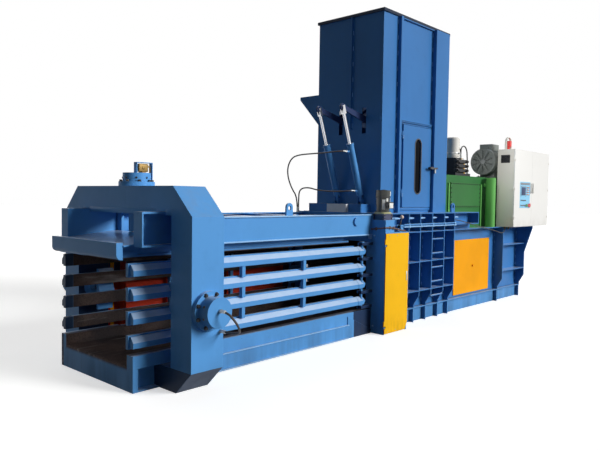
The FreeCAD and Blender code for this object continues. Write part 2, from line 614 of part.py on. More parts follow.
def hopper_door():
    """Leaf with an obround window hole; its lower hinge halves carry the leaf on straps."""
    x0, y0 = DOOR_X[0], -HOPPER_Y - 26
    leaf = box(x0 + 8, DOOR_X[1], y0, y0 + 24, DOOR_Z[0], DOOR_Z[1])
    leaf = leaf.cut(window_outline(y0, 24))
    latch_x, latch_z = latch_pivot()
    leaf = leaf.cut(rod("y", (latch_x, y0, latch_z), 10 + RUN, 24))
    knuckles = []
    for z in DOOR_HINGES:
        barrel = rod("z", (x0 - 12, y0 + 6, z - 60), 15, 58)
        strap = box(x0 - 12, x0 + 20, y0, y0 + 12, z - 60, z - 2)
        bore = rod("z", (x0 - 12, y0 + 6, z - 60), 8 + RUN, 58)
        knuckles.append(join([barrel, strap]).cut(bore))
    return join([leaf] + knuckles)


def window_outline(y0, depth):
    x = (DOOR_X[0] + DOOR_X[1]) / 2 + 25
    low, high, r = 2170.0, 2880.0, 85.0
    ends = [rod("y", (x, y0, z), r, depth) for z in (low, high)]
    return join([box(x - r, x + r, y0, y0 + depth, low, high)] + ends)


def hopper_door_hinges():
    """Fixed halves: a foot on the shaft, a knuckle and the pin."""
    x0, y0 = DOOR_X[0], -HOPPER_Y - 26
    halves = []
    for z in DOOR_HINGES:
        knuckle = rod("z", (x0 - 12, y0 + 6, z), 15, 60)
        foot = box(x0 - 40, x0 - 12, y0, -HOPPER_Y, z, z + 60)
        pin = rod("z", (x0 - 12, y0 + 6, z - 60), 8, 60)
        halves += [knuckle, foot, pin]
    return halves


def door_window():
    return window_outline(-HOPPER_Y - 14, 8)


def latch_pivot():
    return DOOR_X[1] - 50, 2515.0


def hopper_door_handle():
    """Latch lever on a boss in the leaf; it lies across the band beside the door and turns down about Y."""
    y0 = -HOPPER_Y - 26
    x, z = latch_pivot()
    stem = rod("y", (x, y0 - 76, z), 10, 100)
    boss = rod("y", (x, y0 - 76, z), 22, 76 - 0.4)
    lever = box(x - 70, x + 166, y0 - 76, y0 - 54, z - 14, z + 14)
    grip = rod("z", (x + 90, y0 - 65, z - 84), 15, 84)
    return join([stem, boss, lever, grip])


# ---- prepress flap ------------------------------------------------------------------------------------------------------
def flap_point(radius, degrees):
    a = math.radians(degrees)
    return FLAP_AXIS[0] + radius * math.cos(a), FLAP_AXIS[1] + radius * math.sin(a)


FLAP_TOP = flap_point(FLAP_ARM, FLAP_ARM_ANGLE)
FLAP_DIR = (FLAP_TOP[0] - FLAP_BASE[0], FLAP_TOP[1] - FLAP_BASE[1])
FLAP_SPAN = math.hypot(*FLAP_DIR)
FLAP_UNIT = (FLAP_DIR[0] / FLAP_SPAN, FLAP_DIR[1] / FLAP_SPAN)
FLAP_BARREL_END = 876.0
FLAP_PORTS = (150.0, FLAP_BARREL_END - 100)


def along_flap(distance, y):
    return FLAP_BASE[0] + FLAP_UNIT[0] * distance, y, FLAP_BASE[1] + FLAP_UNIT[1] * distance


def prepress_flap():
    """Shaft across the hopper, two arms out through the wall slots, and the pressing plate inside."""
    half = HOPPER_Y - THIN - GAP
    pieces = [rod("y", (FLAP_AXIS[0], -half, FLAP_AXIS[1]), FLAP_SHAFT_R, 2 * half)]
    a = math.radians(FLAP_ARM_ANGLE)
    side = (-math.sin(a) * 34, math.cos(a) * 34)
    tip = FLAP_TOP
    for centre in FLAP_SIDES:
        y0 = centre - 12.5
        arm = [(FLAP_AXIS[0] + side[0] * 1.5, FLAP_AXIS[1] + side[1] * 1.5), (tip[0] + side[0], tip[1] + side[1]),
               (tip[0] - side[0], tip[1] - side[1]), (FLAP_AXIS[0] - side[0] * 1.5, FLAP_AXIS[1] - side[1] * 1.5)]
        eye = rod("y", (tip[0], y0, tip[1]), FLAP_PIN_R + FLAP_SLOP, 25)
        pieces.append(join([plate_y(arm, y0, y0 + 25), rod("y", (tip[0], y0, tip[1]), 52, 25)]).cut(eye))
    lean = math.radians(FLAP_LEAN)
    ux, uz, t = math.cos(lean), math.sin(lean), 8
    bx, bz = FLAP_AXIS
    ex, ez = bx + ux * FLAP_LENGTH, bz + uz * FLAP_LENGTH
    plate = [(bx - uz * t, bz + ux * t), (ex - uz * t, ez + ux * t), (ex + uz * t, ez - ux * t), (bx + uz * t, bz - ux * t)]
    inner = HOPPER_Y - THIN - 40
    pieces.append(plate_y(plate, -inner, inner))
    for y in (-480.0, -70.0, 340.0):
        rib = [(bx + ux * 100 - uz * t, bz + uz * 100 + ux * t), (ex - uz * t, ez + ux * t),
               (bx + ux * 150 - uz * 60, bz + uz * 150 + ux * 60)]
        pieces.append(plate_y(rib, y - 8, y + 8))
    return join(pieces)


def flap_barrel(y):
    """Barrel with its foot eye, gland and two port stubs towards the front."""
    end = FLAP_BARREL_END
    tube = bar_between(along_flap(85, y), along_flap(end, y), 52)
    cap = bar_between(along_flap(end, y), along_flap(end + 30, y), 58)
    neck = bar_between(along_flap(20, y), along_flap(100, y), 24)
    eye = rod("y", (FLAP_BASE[0], y - 25, FLAP_BASE[1]), 33, 50)
    pieces = [tube, cap, neck, eye]
    for d in FLAP_PORTS:
        x, _, z = along_flap(d, y)
        pieces.append(bar_between((x, y, z), (x - 120, y, z), 15))
    cavity = bar_between(along_flap(125, y), along_flap(end, y), 42)
    gland = bar_between(along_flap(end, y), along_flap(end + 30, y), 24 + RUN)
    pin_hole = rod("y", (FLAP_BASE[0], y - 25, FLAP_BASE[1]), FLAP_PIN_R + RUN, 50)
    return join(pieces).cut(cavity).cut(gland).cut(pin_hole)


def flap_rod(y):
    """Piston, rod and a fork whose pin lies in the arm's eye."""
    end = FLAP_BARREL_END
    piston = bar_between(along_flap(end - 95, y), along_flap(end - 45, y), 41.9)
    shaft = bar_between(along_flap(end - 95, y), along_flap(FLAP_SPAN - 75, y), 24)
    pin = rod("y", (FLAP_TOP[0], y - 36, FLAP_TOP[1]), FLAP_PIN_R, 72)
    ux, uz = FLAP_UNIT
    base, top = along_flap(FLAP_SPAN - 105, y), along_flap(FLAP_SPAN + 26, y)
    w = 26
    outline = [(base[0] - uz * w, base[2] + ux * w), (top[0] - uz * w, top[2] + ux * w),
               (top[0] + uz * w, top[2] - ux * w), (base[0] + uz * w, base[2] - ux * w)]
    fork = plate_y(outline, y - 30, y + 30)
    low, high = along_flap(FLAP_SPAN - 80, y), along_flap(FLAP_SPAN + 60, y)
    w = 60
    gap = [(low[0] - uz * w, low[2] + ux * w), (high[0] - uz * w, high[2] + ux * w),
           (high[0] + uz * w, high[2] - ux * w), (low[0] + uz * w, low[2] - ux * w)]
    fork = fork.cut(plate_y(gap, y - 15, y + 15))
    return join([piston, shaft, fork, pin])


# ---- tie station ------------------------------------------------------------------------------------------------------
def tie_frame():
    """Portal plates across the chamber, the near enclosure for the twister, its bearing and the rail lugs."""
    reach, top = TIE_REACH, TIE_TOP
    foot_y = WALL_Y + 30
    x0, x1 = TIE_X + PLATE, GUARD_X1
    pieces = [box(TIE_X, x0, -reach, -foot_y, 0, top), box(TIE_X, x0, foot_y, RIB_REACH, 0, top)]
    pieces += both(box(TIE_X, x0, -foot_y, -CHANNEL_Y, LEDGE_Z, top))
    pieces.append(box(TIE_X, x0, -CHANNEL_Y, CHANNEL_Y, CEILING_Z, top))
    pieces.append(box(TIE_X, x0, -BEAM_Y, BEAM_Y, top, DECK_Z))
    pieces.append(box(x1 - PLATE, x1, -reach, -WALL_Y - 18, 0, GUARD_Z[1]))
    pieces.append(box(x0, x1, -reach, -WALL_Y, GUARD_Z[1], GUARD_Z[1] + 16))
    pieces.append(box(x0, HOPPER_X0 - 76, -reach + 20, -WALL_Y, GUARD_Z[1] + 16, TIE_TOP))
    pieces.append(box(x0, x0 + 220, -reach + 20, -WALL_Y - 18, 60, 90))
    for z in rail_lug_levels():
        pieces += both(box(RAIL_PIVOT_X - 45, TIE_X, -RAIL_OUT_Y - 8, -RAIL_MID_Y + 8, z - 20, z + 20))
    for z in GUARD_HINGES:
        pieces.append(box(TIE_X - 24, TIE_X, -reach - 22, -reach + 30, z, z + 20))
        pieces.append(rod("z", (TIE_X - 10, -reach - 8, z + 20), 6, 80))
    shaft_bore = rod("z", (TWIST_X, -TWIST_Y, 0), TWIST_R + RUN, DECK_Z)
    rail_bores = both(rod("z", (RAIL_PIVOT_X, -RAIL_PIVOT_Y, 0), RAIL_PIN_R, DECK_Z))
    return bored(welded(pieces), shaft_bore, *rail_bores) + lever_cheeks()


def tie_door():
    """Leaf notched round its two fixed hinge feet, with its own knuckles on straps."""
    y0 = -TIE_REACH - 14
    leaf = box(TIE_X + 2, GUARD_X1, y0, y0 + 12, GUARD_Z[0], GUARD_Z[1])
    leaf = leaf.cut(plate_y([(GUARD_X1 - 60, GUARD_Z[0]), (GUARD_X1, GUARD_Z[0]), (GUARD_X1, GUARD_Z[0] + 110)],
                            y0, y0 + 12))
    knuckles = []
    for z in GUARD_HINGES:
        leaf = leaf.cut(box(TIE_X, TIE_X + 34, y0, y0 + 12, z - 6, z + 22))
        barrel = rod("z", (TIE_X - 10, y0 + 6, z + 22), 11, 76)
        strap = box(TIE_X - 10, TIE_X + 40, y0, y0 + 12, z + 22, z + 98)
        bore = rod("z", (TIE_X - 10, y0 + 6, z + 22), 6 + RUN, 76)
        knuckles.append(join([barrel, strap]).cut(bore))
    return join([leaf] + knuckles)


def twister_shaft():
    """Shaft with a slotted twisting disc at each needle level."""
    shaft = rod("z", (TWIST_X, -TWIST_Y, 62), TWIST_R, TIE_TOP - 62)
    discs = []
    for z in RAIL_GAPS:
        disc = rod("z", (TWIST_X, -TWIST_Y, z - 10), 70, 20)
        slot = box(TWIST_X - 6, TWIST_X + 6, -TWIST_Y + 45, -TWIST_Y + 75, z - 10, z + 10)
        discs.append(disc.cut(slot))
    return welded([shaft] + discs)


def tie_gearmotor():
    x, y, z = TWIST_X, -TWIST_Y, TIE_TOP
    gearbox = box(x - 110, x + 110, y - 100, y + 100, z, z + 95)
    flange = rod("z", (x, y, z + 95), 122, 22)
    body = rod("z", (x, y, z + 117), 98, 220)
    fins = [rod("z", (x, y, z + 140 + 24 * n), 106, 10) for n in range(8)]
    cowl = rod("z", (x, y, z + 337), 108, 100)
    terminal = box(x - 60, x + 50, y - 150, y - 90, z + 170, z + 260)
    return welded([gearbox, flange, body, cowl] + fins + [terminal])


def lever_pivot():
    return TIE_X + 450, GUARD_Z[1] + 90


def lever_cheeks():
    """Base plate and two cheeks of the hand lever, with the pin's bore."""
    x, z = lever_pivot()
    low = GUARD_Z[1] + 16
    pieces = [box(x - 60, x + 60, -LEVER_Y - 43, -LEVER_Y + 43, low, low + 14)]
    pieces += [box(x - 35, x + 35, -LEVER_Y + s * 36 - 6, -LEVER_Y + s * 36 + 6, low + 14, z + 30) for s in (-1, 1)]
    return bored(pieces, rod("y", (x, -LEVER_Y - 43, z), 12 + RUN, 86))


def tie_lever():
    """Hand lever with a ball knob between two cheeks, beside the gear motor; it rocks about Y."""
    x, z = lever_pivot()
    pin = rod("y", (x, -LEVER_Y - 43, z), 12, 86)
    boss = rod("y", (x, -LEVER_Y - 22, z), 24, 44)
    arm = bar_between((x, -LEVER_Y, z), (x + 45, -LEVER_Y, z + 130), 10)
    ball = Part.makeSphere(30, vec(x + 50, -LEVER_Y, z + 145))
    return join([pin, boss, arm, ball])


def needle_carriage():
    """Upright beam with four wire needles at its retracted place on the far side."""
    tip = WALL_Y + 10
    beam_y = tip + NEEDLE_STROKE + 20
    pieces = [box(TWIST_X - 35, TWIST_X + 35, beam_y, beam_y + 80, 330, 1200)]
    for z in RAIL_GAPS:
        needle = box(TWIST_X - NEEDLE_T / 2, TWIST_X + NEEDLE_T / 2, tip, beam_y, z - 10, z + 10)
        pieces.append(needle)
    return pieces


def needle_track():
    """Two pairs of level guide bars and an end post that carry the needle carriage."""
    y0, y1 = WALL_Y, WALL_Y + 10 + NEEDLE_STROKE + 120
    pieces = [box(TWIST_X - 77, TWIST_X + 77, y1, y1 + 20, 0, 1180)]
    for x in (TWIST_X - 35 - SLIDE_GAP - 40, TWIST_X + 35 + SLIDE_GAP):
        pieces += [box(x, x + 40, y0, y1, z, z + 40) for z in (350.0, 1140.0)]
    return pieces


def far_guard():
    """Sheet guard on posts along the far side of the chamber, bracketed to the base."""
    y = BEAM_Y + 50
    pieces = [box(YOKE_X + 150, TIE_X - 300, y, y + 6, 300, 1440)]
    for x in (YOKE_X + 160, YOKE_X + 1400, TIE_X - 620):
        pieces.append(box(x, x + 50, y + 6, y + 46, 0, 1440))
        pieces.append(box(x, x + 50, BEAM_Y + 15, y + 6, 100, 140))
    return pieces


# ---- hydraulics -------------------------------------------------------------------------------------------------------
def oil_tank():
    """Tank with two upright stiffeners; the front one stands above the wall's deck."""
    tank = box(TANK_X0, TANK_X1, -TANK_Y, TANK_Y, REAR_DECK_Z, TANK_TOP)
    feet = ((TANK_RIBS[0], DECK_Z + GAP), (TANK_RIBS[1], REAR_DECK_Z))
    stiffeners = [box(x, x + 40, -TANK_Y - 20, -TANK_Y, low, TANK_TOP - 140) for x, low in feet]
    return [tank] + stiffeners


def tank_cover():
    return box(TANK_RIBS[0] + 85, TANK_RIBS[1] - 30, -TANK_Y - 14, -TANK_Y, REAR_DECK_Z + 370, REAR_DECK_Z + 830)


def return_column():
    """Upright return line with its elbow into the tank."""
    x, y = TANK_RIBS[1] + 190, -(WALL_Y + 55)
    column = rod("z", (x, y, REAR_DECK_Z), 93, TANK_HEIGHT - 10)
    elbow = rod("y", (x, y, REAR_DECK_Z + 800), 40, -TANK_Y - y)
    return welded([column, elbow])


def pump_motor():
    x, y, z = MOTOR_X, MOTOR_Y, MOTOR_Z
    r = MOTOR_COWL_D / 2
    cowl = rod("x", (x, y, z), r, 130).cut(rod("x", (x, y, z), r - 14, 90))
    grille = rod("x", (x, y, z), r - 10, 12).cut(rod("x", (x, y, z), 26, 12))
    count = 10
    slots = []
    for n in range(count):
        slot = box(x, x + 12, y - 11, y + 11, z + 60, z + r - 40)
        slots.append(turned(slot, (x, y, z), "x", 360 * n / count))
    grille = grille.cut(join(slots))
    body = join([rod("x", (x + 130, y, z), r - 32, 520), rod("x", (x + 12, y, z), 15, 118)])
    fins = [rod("x", (x + 150 + 42 * n, y, z), r - 10, 16) for n in range(12)]
    feet = box(x + 170, x + 600, y - 155, y + 210, TANK_TOP, TANK_TOP + 40)
    saddle = box(x + 200, x + 570, y - 150, y + 150, TANK_TOP + 40, z - 120)
    terminal = box(x + 120, x + 420, y - 130, y + 130, z + r - 40, z + r + 90)
    return welded([cowl, grille, body, feet, saddle] + fins + [terminal])


def motor_fan():
    """Six-bladed fan that runs on the motor's shaft end behind the grille."""
    x, y, z = MOTOR_X, MOTOR_Y, MOTOR_Z
    pieces = [rod("x", (x + 14, y, z), 40, 70)]
    for n in range(6):
        blade = box(x + 30, x + 70, y - 4, y + 4, z + 30, z + MOTOR_COWL_D / 2 - 40)
        pieces.append(turned(blade, (x, y, z), "x", 60 * n))
    return join(pieces).cut(rod("x", (x + 14, y, z), 15 + RUN, 70))


def hydraulic_pump():
    """Bell housing and piston pump on the motor's drive end."""
    x, y, z = MOTOR_X + 650, MOTOR_Y, MOTOR_Z
    bell = rod("x", (x, y, z), 150, 130)
    body = rod("x", (x + 130, y, z), 105, 170)
    port = box(x + 150, x + 260, y - 60, y + 60, z + 60, z + 150)
    return welded([bell, body, port])


def valve_block():
    """Manifold on the tank with valves on its near face and pilot stages on its flank."""
    x0, x1 = TANK_X0 + 690, TANK_X0 + 980
    z0, z1 = TANK_TOP, TANK_TOP + 346
    pieces = [box(x0, x1, -440, -160, z0, z1), box(x0 - 60, x1 + 230, -470, -130, z0, z0 + 60)]
    for n in range(3):
        z = z0 + 110 + 85 * n
        pieces.append(box(x0 + 40, x1 - 40, -500, -440, z - 30, z + 30))
        pieces.append(rod("x", (x0 - 50, -470, z), 26, x1 - x0 + 100))
    for n in range(2):
        pieces.append(rod("z", (x1 + 70 + 90 * n, -300, z0 + 60), 34, 120))
    return welded(pieces)


def oil_filter():
    """Canister with a collar, standing on the manifold."""
    x, y, z = TANK_X0 + 812, -300, TANK_TOP + 346
    can = rod("z", (x, y, z + 30), 130, 330)
    collar = rod("z", (x, y, z), 118, 30)
    crown = Part.makeCone(130, 105, 22, vec(x, y, z + 360), vec(0, 0, 1))
    return [collar, join([can, crown])]


def filler_breather():
    x, y = TANK_X0 + 1260, -300
    stem = rod("z", (x, y, TANK_TOP), 26, 260)
    collar = rod("z", (x, y, TANK_TOP + 60), 38, 30)
    cap = rod("z", (x, y, TANK_TOP + 260), 36, 50)
    return welded([stem, collar, cap])


# ---- control cabinet: body, leaves, panel and signals ------------------------------------------------------------------
def cabinet_body():
    x0, x1 = CABINET_X, CABINET_X + CABINET_LENGTH
    y0, y1 = -CABINET_Y + 26, -CABINET_Y + CABINET_DEPTH
    z0, z1 = CABINET_Z, CABINET_Z + CABINET_HEIGHT
    return box(x0, x1, y0, y1, z0, z1).cut(box(x0 + 8, x1 - 8, y0, y1 - 8, z0 + 8, z1 - 8))


def cabinet_back_plate():
    x0, x1 = CABINET_X + 90, CABINET_X + CABINET_LENGTH - 90
    y1 = -CABINET_Y + CABINET_DEPTH - 8
    return box(x0, x1, y1 - 20, y1, CABINET_Z + 90, CABINET_Z + CABINET_HEIGHT - 90)


def cabinet_door(left):
    """Folded leaf with a hollow back, notched round the body's hinge feet, with knuckles on straps."""
    x0, x1 = CABINET_X, CABINET_X + CABINET_LENGTH
    mid = CABINET_X + 835
    a, b = (x0, mid - 1.5) if left else (mid + 1.5, x1)
    y0 = -CABINET_Y
    leaf = box(a, b, y0, y0 + 24, CABINET_Z + 2, CABINET_Z + CABINET_HEIGHT - 2)
    leaf = leaf.cut(box(a + 45, b - 45, y0 + 3, y0 + 24, CABINET_Z + 47, CABINET_Z + CABINET_HEIGHT - 47))
    edge, out = (x0, -1) if left else (x1, 1)
    for z in CABINET_HINGES:
        leaf = leaf.cut(box(edge - 32, edge + 32, y0, y0 + 24, z - 3, z + 31))
        ends = sorted((edge + out * 10, edge - out * 40))
        strap = box(ends[0], ends[1], y0 + 7, y0 + 17, z + 31, z + 79)
        barrel = rod("z", (edge + out * 10, y0 + 12, z + 31), 9, 48)
        bore = rod("z", (edge + out * 10, y0 + 12, z + 31), 5 + RUN, 48)
        leaf = join([leaf, join([strap, barrel]).cut(bore)]).cut(bore)
    if left:
        for x, z, r in button_places():
            leaf = leaf.cut(rod("y", (x, y0, z), r + 0.5, 3))
    return leaf


def cabinet_hinges():
    """Feet on the body's flanks with the upright pins of both leaves."""
    halves = []
    for edge, out in ((CABINET_X, -1), (CABINET_X + CABINET_LENGTH, 1)):
        y0 = -CABINET_Y
        ends = sorted((edge, edge + out * 18))
        for z in CABINET_HINGES:
            halves.append(box(ends[0], ends[1], y0 + 3, y0 + 60, z, z + 30))
            halves.append(rod("z", (edge + out * 10, y0 + 12, z + 30), 5, 50))
    return halves


def button_places():
    """(x, z, radius) of the start button, the stop button and the emergency stop."""
    return [(PANEL_X[0] + 300, PANEL_Z[0] + 30, 20.0), (PANEL_X[0] + 370, PANEL_Z[0] + 30, 20.0),
            (PANEL_X[0] + 445, PANEL_Z[0] + 30, 30.0)]


def control_panel():
    y0 = -CABINET_Y
    plate = box(PANEL_X[0], PANEL_X[1], y0 - 4, y0, PANEL_Z[0] - 20, PANEL_Z[1])
    for x, z, r in button_places():
        plate = plate.cut(rod("y", (x, y0 - 4, z), r + 0.5, 4))
    frame = box(PANEL_X[0] + 40, PANEL_X[0] + 260, y0 - 12, y0 - 4, PANEL_Z[0] + 220, PANEL_Z[0] + 400)
    return join([plate, frame])


def push_button(index):
    x, z, r = button_places()[index]
    y0 = -CABINET_Y - 4
    head = rod("y", (x, y0 - 22, z), r * 1.35, 12)
    stem = rod("y", (x, y0 - 22, z), r, 42)
    return join([head, stem])


def cabinet_bracket():
    """Shelf under the cabinet with a flared gusset at the rear post."""
    x0, x1 = POST_X, REAR_X
    z1 = CABINET_Z
    shelf = box(x0, x1, -CABINET_Y + 60, -RIB_REACH, z1 - 12, z1)
    gusset = [(-RIB_REACH, 925), (-CABINET_Y + 60, z1 - 50), (-CABINET_Y + 60, z1 - 12), (-RIB_REACH, z1 - 12)]
    rear = plate_x(gusset, x1 - PLATE, x1)
    front = plate_x([(-RIB_REACH, z1 - 70), (-CABINET_Y + 60, z1 - 30), (-CABINET_Y + 60, z1 - 12),
                     (-RIB_REACH, z1 - 12)], x0, x0 + PLATE)
    return welded([shelf, rear, front])


def beacon():
    x, y, z = CABINET_X + 160, -CABINET_Y + 220, CABINET_Z + CABINET_HEIGHT
    return [rod("z", (x, y, z), 30, 60), rod("z", (x, y, z + 60), 62, 110)]


def beacon_guard():
    x, y, z = CABINET_X + 160, -CABINET_Y + 220, CABINET_Z + CABINET_HEIGHT
    legs = [box(x + s * 110 - 6, x + s * 110 + 6, y - 20, y + 20, z, z + 130) for s in (-1, 1)]
    arch = rod("y", (x, y - 20, z + 130), 116, 40).cut(rod("y", (x, y - 20, z + 130), 104, 40))
    arch = arch.cut(box(x - 130, x + 130, y - 20, y + 20, z, z + 130))
    return join(legs + [arch])


# ---- hoses and cables ---------------------------------------------------------------------------------------------------
def bend_radius(before, point, after):
    a, b = vec(*before) - vec(*point), vec(*after) - vec(*point)
    turn = math.pi - a.getAngle(b)
    return 0.45 * min(a.Length, b.Length) / math.tan(turn / 2)


def hose(points, radius, label):
    """A round hose through the points: straight runs joined by tangent arcs."""
    edges, start, smallest = [], vec(*points[0]), None
    for before, point, after in zip(points, points[1:], points[2:]):
        p = vec(*point)
        to_before, to_after = vec(*before) - p, vec(*after) - p
        turn = math.pi - to_before.getAngle(to_after)
        bend = bend_radius(before, point, after)
        smallest = bend if smallest is None else min(smallest, bend)
        cut = bend * math.tan(turn / 2)
        enter = p + to_before.normalize() * cut
        leave = p + to_after.normalize() * cut
        middle = (to_before + to_after).normalize()
        bulge = p + middle * (math.hypot(bend, cut) - bend)
        edges.append(Part.LineSegment(start, enter).toShape())
        edges.append(Part.Arc(enter, bulge, leave).toShape())
        start = leave
    edges.append(Part.LineSegment(start, vec(*points[-1])).toShape())
    path = Part.Wire(edges)
    first = vec(*points[1]) - vec(*points[0])
    profile = Part.Wire(Part.makeCircle(radius, vec(*points[0]), first))
    tube = path.makePipeShell([profile], True, True)
    solid = Part.Solid(tube) if tube.ShapeType == "Shell" else tube
    expected = math.pi * radius * radius * path.Length
    print("hose", label, "smallest bend", round(smallest), "volume ratio", round(solid.Volume / expected, 4))
    return solid


def squeeze_routes():
    """Hose from the middle of each side cylinder's cap round to a port on the frame's outer face."""
    face = -FRAME_WIDTH / 2
    cap = face - FLANGE_T - HUB_L
    z = SQUEEZE_Z
    near = [(0, cap, z + 20), (0, cap - 110, z + 20), (46, cap - 202, z - 60), (111, cap - 202, z - 173),
            (157, cap - 110, z - 253), (150, cap + 30, z - 275), (150, face, z - 275)]
    return [near, [(x, -y, z) for x, y, z in near]]


def flap_routes():
    """The upper and the lower hose leave the near cylinder's ports and drop to the far upper beam."""
    y = FLAP_SIDES[0]
    x_up, _, z_up = along_flap(FLAP_PORTS[1], y)
    x_low, _, z_low = along_flap(FLAP_PORTS[0], y)
    x_end, z_end = TIE_X - 110, UPPER_BEAM_TOP
    upper = [(x_up - 120, y, z_up), (x_up - 215, y, z_up), (x_up - 285, y + 75, z_up - 10),
             (x_up - 290, y + 250, z_up - 20), (x_up - 280, y + 540, z_up - 25), (x_up - 260, y + 840, z_up - 30),
             (x_up - 240, y + 1020, z_up - 70), (x_up - 220, y + 1130, z_up - 210), (x_up - 200, y + 1140, z_up - 380),
             (x_up - 180, y + 1070, z_up - 560), (x_end, 675, z_end + 230), (x_end, 675, z_end)]
    lower = [(x_low - 120, y, z_low), (x_low - 215, y, z_low), (x_low - 285, y + 75, z_low - 10),
             (x_low - 290, y + 300, z_low - 15), (x_low - 300, y + 580, z_low), (x_low - 320, y + 780, z_low + 50),
             (x_low - 350, y + 940, z_low + 20), (x_end + 60, 705, z_end + 190), (x_end + 60, 705, z_end)]
    return [upper, lower]


def power_routes():
    """Two hoses loop from the manifold's top over to the tank beside the pump's motor."""
    z = TANK_TOP + 346
    x = TANK_X0 + 935
    first = [(x, -190, z), (x, -190, z + 130), (x + 60, -200, z + 250), (x + 190, -215, z + 290),
             (x + 300, -230, z + 210), (x + 335, -243, z + 70), (x + 330, -240, z - 120), (x + 330, -240, TANK_TOP)]
    x = TANK_X0 + 930
    second = [(x, -410, z), (x, -410, z + 110), (x + 60, -388, z + 215), (x + 190, -385, z + 250),
              (x + 290, -385, z + 170), (x + 295, -390, z + 30), (x + 260, -420, z - 100), (x + 260, -420, TANK_TOP + 60)]
    return [first, second]


def cable_routes():
    """Control cable out of the wall's upper channel, sagging along it and up into the cabinet's floor."""
    x, y = RIB_X[-1], -RIB_REACH - 30
    z = DECK_Z - 126
    end = CABINET_X + 22
    return [[(x + 10, -800, z), (x + 90, -800, z), (x + 310, y + 4, z - 42), (x + 580, y, z - 92),
             (x + 860, y, z - 138), (x + 1140, y, z - 180), (x + 1410, y, z - 218), (x + 1570, y - 2, z - 246),
             (end - 190, y - 4, z - 278), (end - 100, y - 7, z - 290), (end - 30, y - 10, z - 264),
             (end, y - 10, CABINET_Z - 49), (end, y - 10, CABINET_Z)]]


def save_all():
    save("squeeze_frame", squeeze_frame())
    save("discharge_table", discharge_table())
    save("side_cylinder_near", side_cylinder())
    save("side_cylinder_far", far(side_cylinder()))
    save("side_rod_near", side_rod())
    save("side_rod_far", far(side_rod()))
    save("top_cylinder", [top_cylinder(), cylinder_guard()])
    save("top_rod", top_rod())
    save("cylinder_bolts", cylinder_bolts())
    save("side_rails_near", side_rails())
    save("side_rails_far", far_all(side_rails()))
    save("hinge_pins", rail_pin() + far_all(rail_pin()) + tension_hinge_pin())
    save("tension_plate", tension_plate())
    lug = lifting_lug(YOKE_X + 1607, -BEAM_Y + 84, UPPER_BEAM_TOP)
    save("upper_frame", welded(upper_beam() + far_all(upper_beam()) + cross_members() + [lug]))
    save("base_frame", base_frame())
    wall_lug = lifting_lug(RIB_X[-1] + 60, -WALL_Y - 100, DECK_Z)
    save("press_wall_near", join([press_wall(), wall_lug] + ladder_rungs()))
    save("press_wall_far", far(press_wall()))
    save("press_deck", press_deck() + [rear_bulkhead()])
    save("main_cylinder", main_cylinder())
    save("ram_rod", ram_rod())
    save("main_ram", main_ram())
    save("service_cover", service_cover())
    save("hopper_shaft", hopper_shaft())
    save("junction_box", junction_box())
    save("hopper_door", hopper_door())
    save("hopper_door_handle", hopper_door_handle())
    save("door_window", door_window())
    save("prepress_flap", prepress_flap())
    save("flap_barrel_near", flap_barrel(FLAP_SIDES[0]))
    save("flap_barrel_far", flap_barrel(FLAP_SIDES[1]))
    save("flap_rod_near", flap_rod(FLAP_SIDES[0]))
    save("flap_rod_far", flap_rod(FLAP_SIDES[1]))
    save("tie_frame", tie_frame() + needle_track())
    save("tie_door", tie_door())
    save("twister_shaft", twister_shaft())
    save("tie_gearmotor", tie_gearmotor())
    save("needle_carriage", needle_carriage())
    save("tie_lever", tie_lever())
    save("far_guard", far_guard())
    save("oil_tank", oil_tank())
    save("tank_cover", tank_cover())
    save("return_column", return_column())
    save("pump_motor", pump_motor())
    save("motor_fan", motor_fan())
    save("hydraulic_pump", hydraulic_pump())
    save("valve_block", valve_block())
    save("oil_filter", oil_filter())
    save("filler_breather", filler_breather())
    save("cabinet_body", [join([cabinet_body(), cabinet_back_plate()] + cabinet_hinges()), beacon_guard()])
    save("cabinet_door_left", cabinet_door(True))
    save("cabinet_door_right", cabinet_door(False))
    save("control_panel", control_panel())
    save("cabinet_bracket", cabinet_bracket())
    save("beacon_lamp", beacon())
    for index, name in enumerate(("start_button", "stop_button", "emergency_stop")):
        save(name, push_button(index))
    save("flap_hoses", [hose(route, 11, "flap") for route in flap_routes()])
    save("power_hoses", [hose(route, 12, "power") for route in squeeze_routes() + power_routes()])
    save("control_cable", [hose(route, 8, "cable") for route in cable_routes()])


save_all()
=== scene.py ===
"""Looks of the recycling baler: paint, wear, fasteners, welds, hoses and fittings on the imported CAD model.

Lengths are in metres, in the CAD frame: +X runs from the bale outlet to the rear, -Y is the operator's side.
"""

import math

import bmesh
import bpy
from bpy.props import FloatProperty, FloatVectorProperty
from bpy.types import Operator, Panel, PropertyGroup
from mathutils import Matrix, Vector


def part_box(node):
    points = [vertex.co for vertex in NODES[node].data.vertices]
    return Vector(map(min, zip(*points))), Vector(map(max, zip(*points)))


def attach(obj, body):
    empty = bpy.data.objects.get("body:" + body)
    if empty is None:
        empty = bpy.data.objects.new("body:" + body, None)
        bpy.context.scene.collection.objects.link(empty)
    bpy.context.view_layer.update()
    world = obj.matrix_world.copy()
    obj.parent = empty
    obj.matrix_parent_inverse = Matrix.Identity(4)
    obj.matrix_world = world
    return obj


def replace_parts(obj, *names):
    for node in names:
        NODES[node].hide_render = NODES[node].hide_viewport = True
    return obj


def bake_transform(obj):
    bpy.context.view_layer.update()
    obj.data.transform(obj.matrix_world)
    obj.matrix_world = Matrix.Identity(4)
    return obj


bl_info = {
    "name": "Recycling Baler Looks",
    "version": (1, 0, 0),
    "blender": (4, 5, 0),
    "location": "3D View > Sidebar > Baler",
    "description": "Dresses the recycling baler's CAD model for rendering",
    "category": "Object",
}

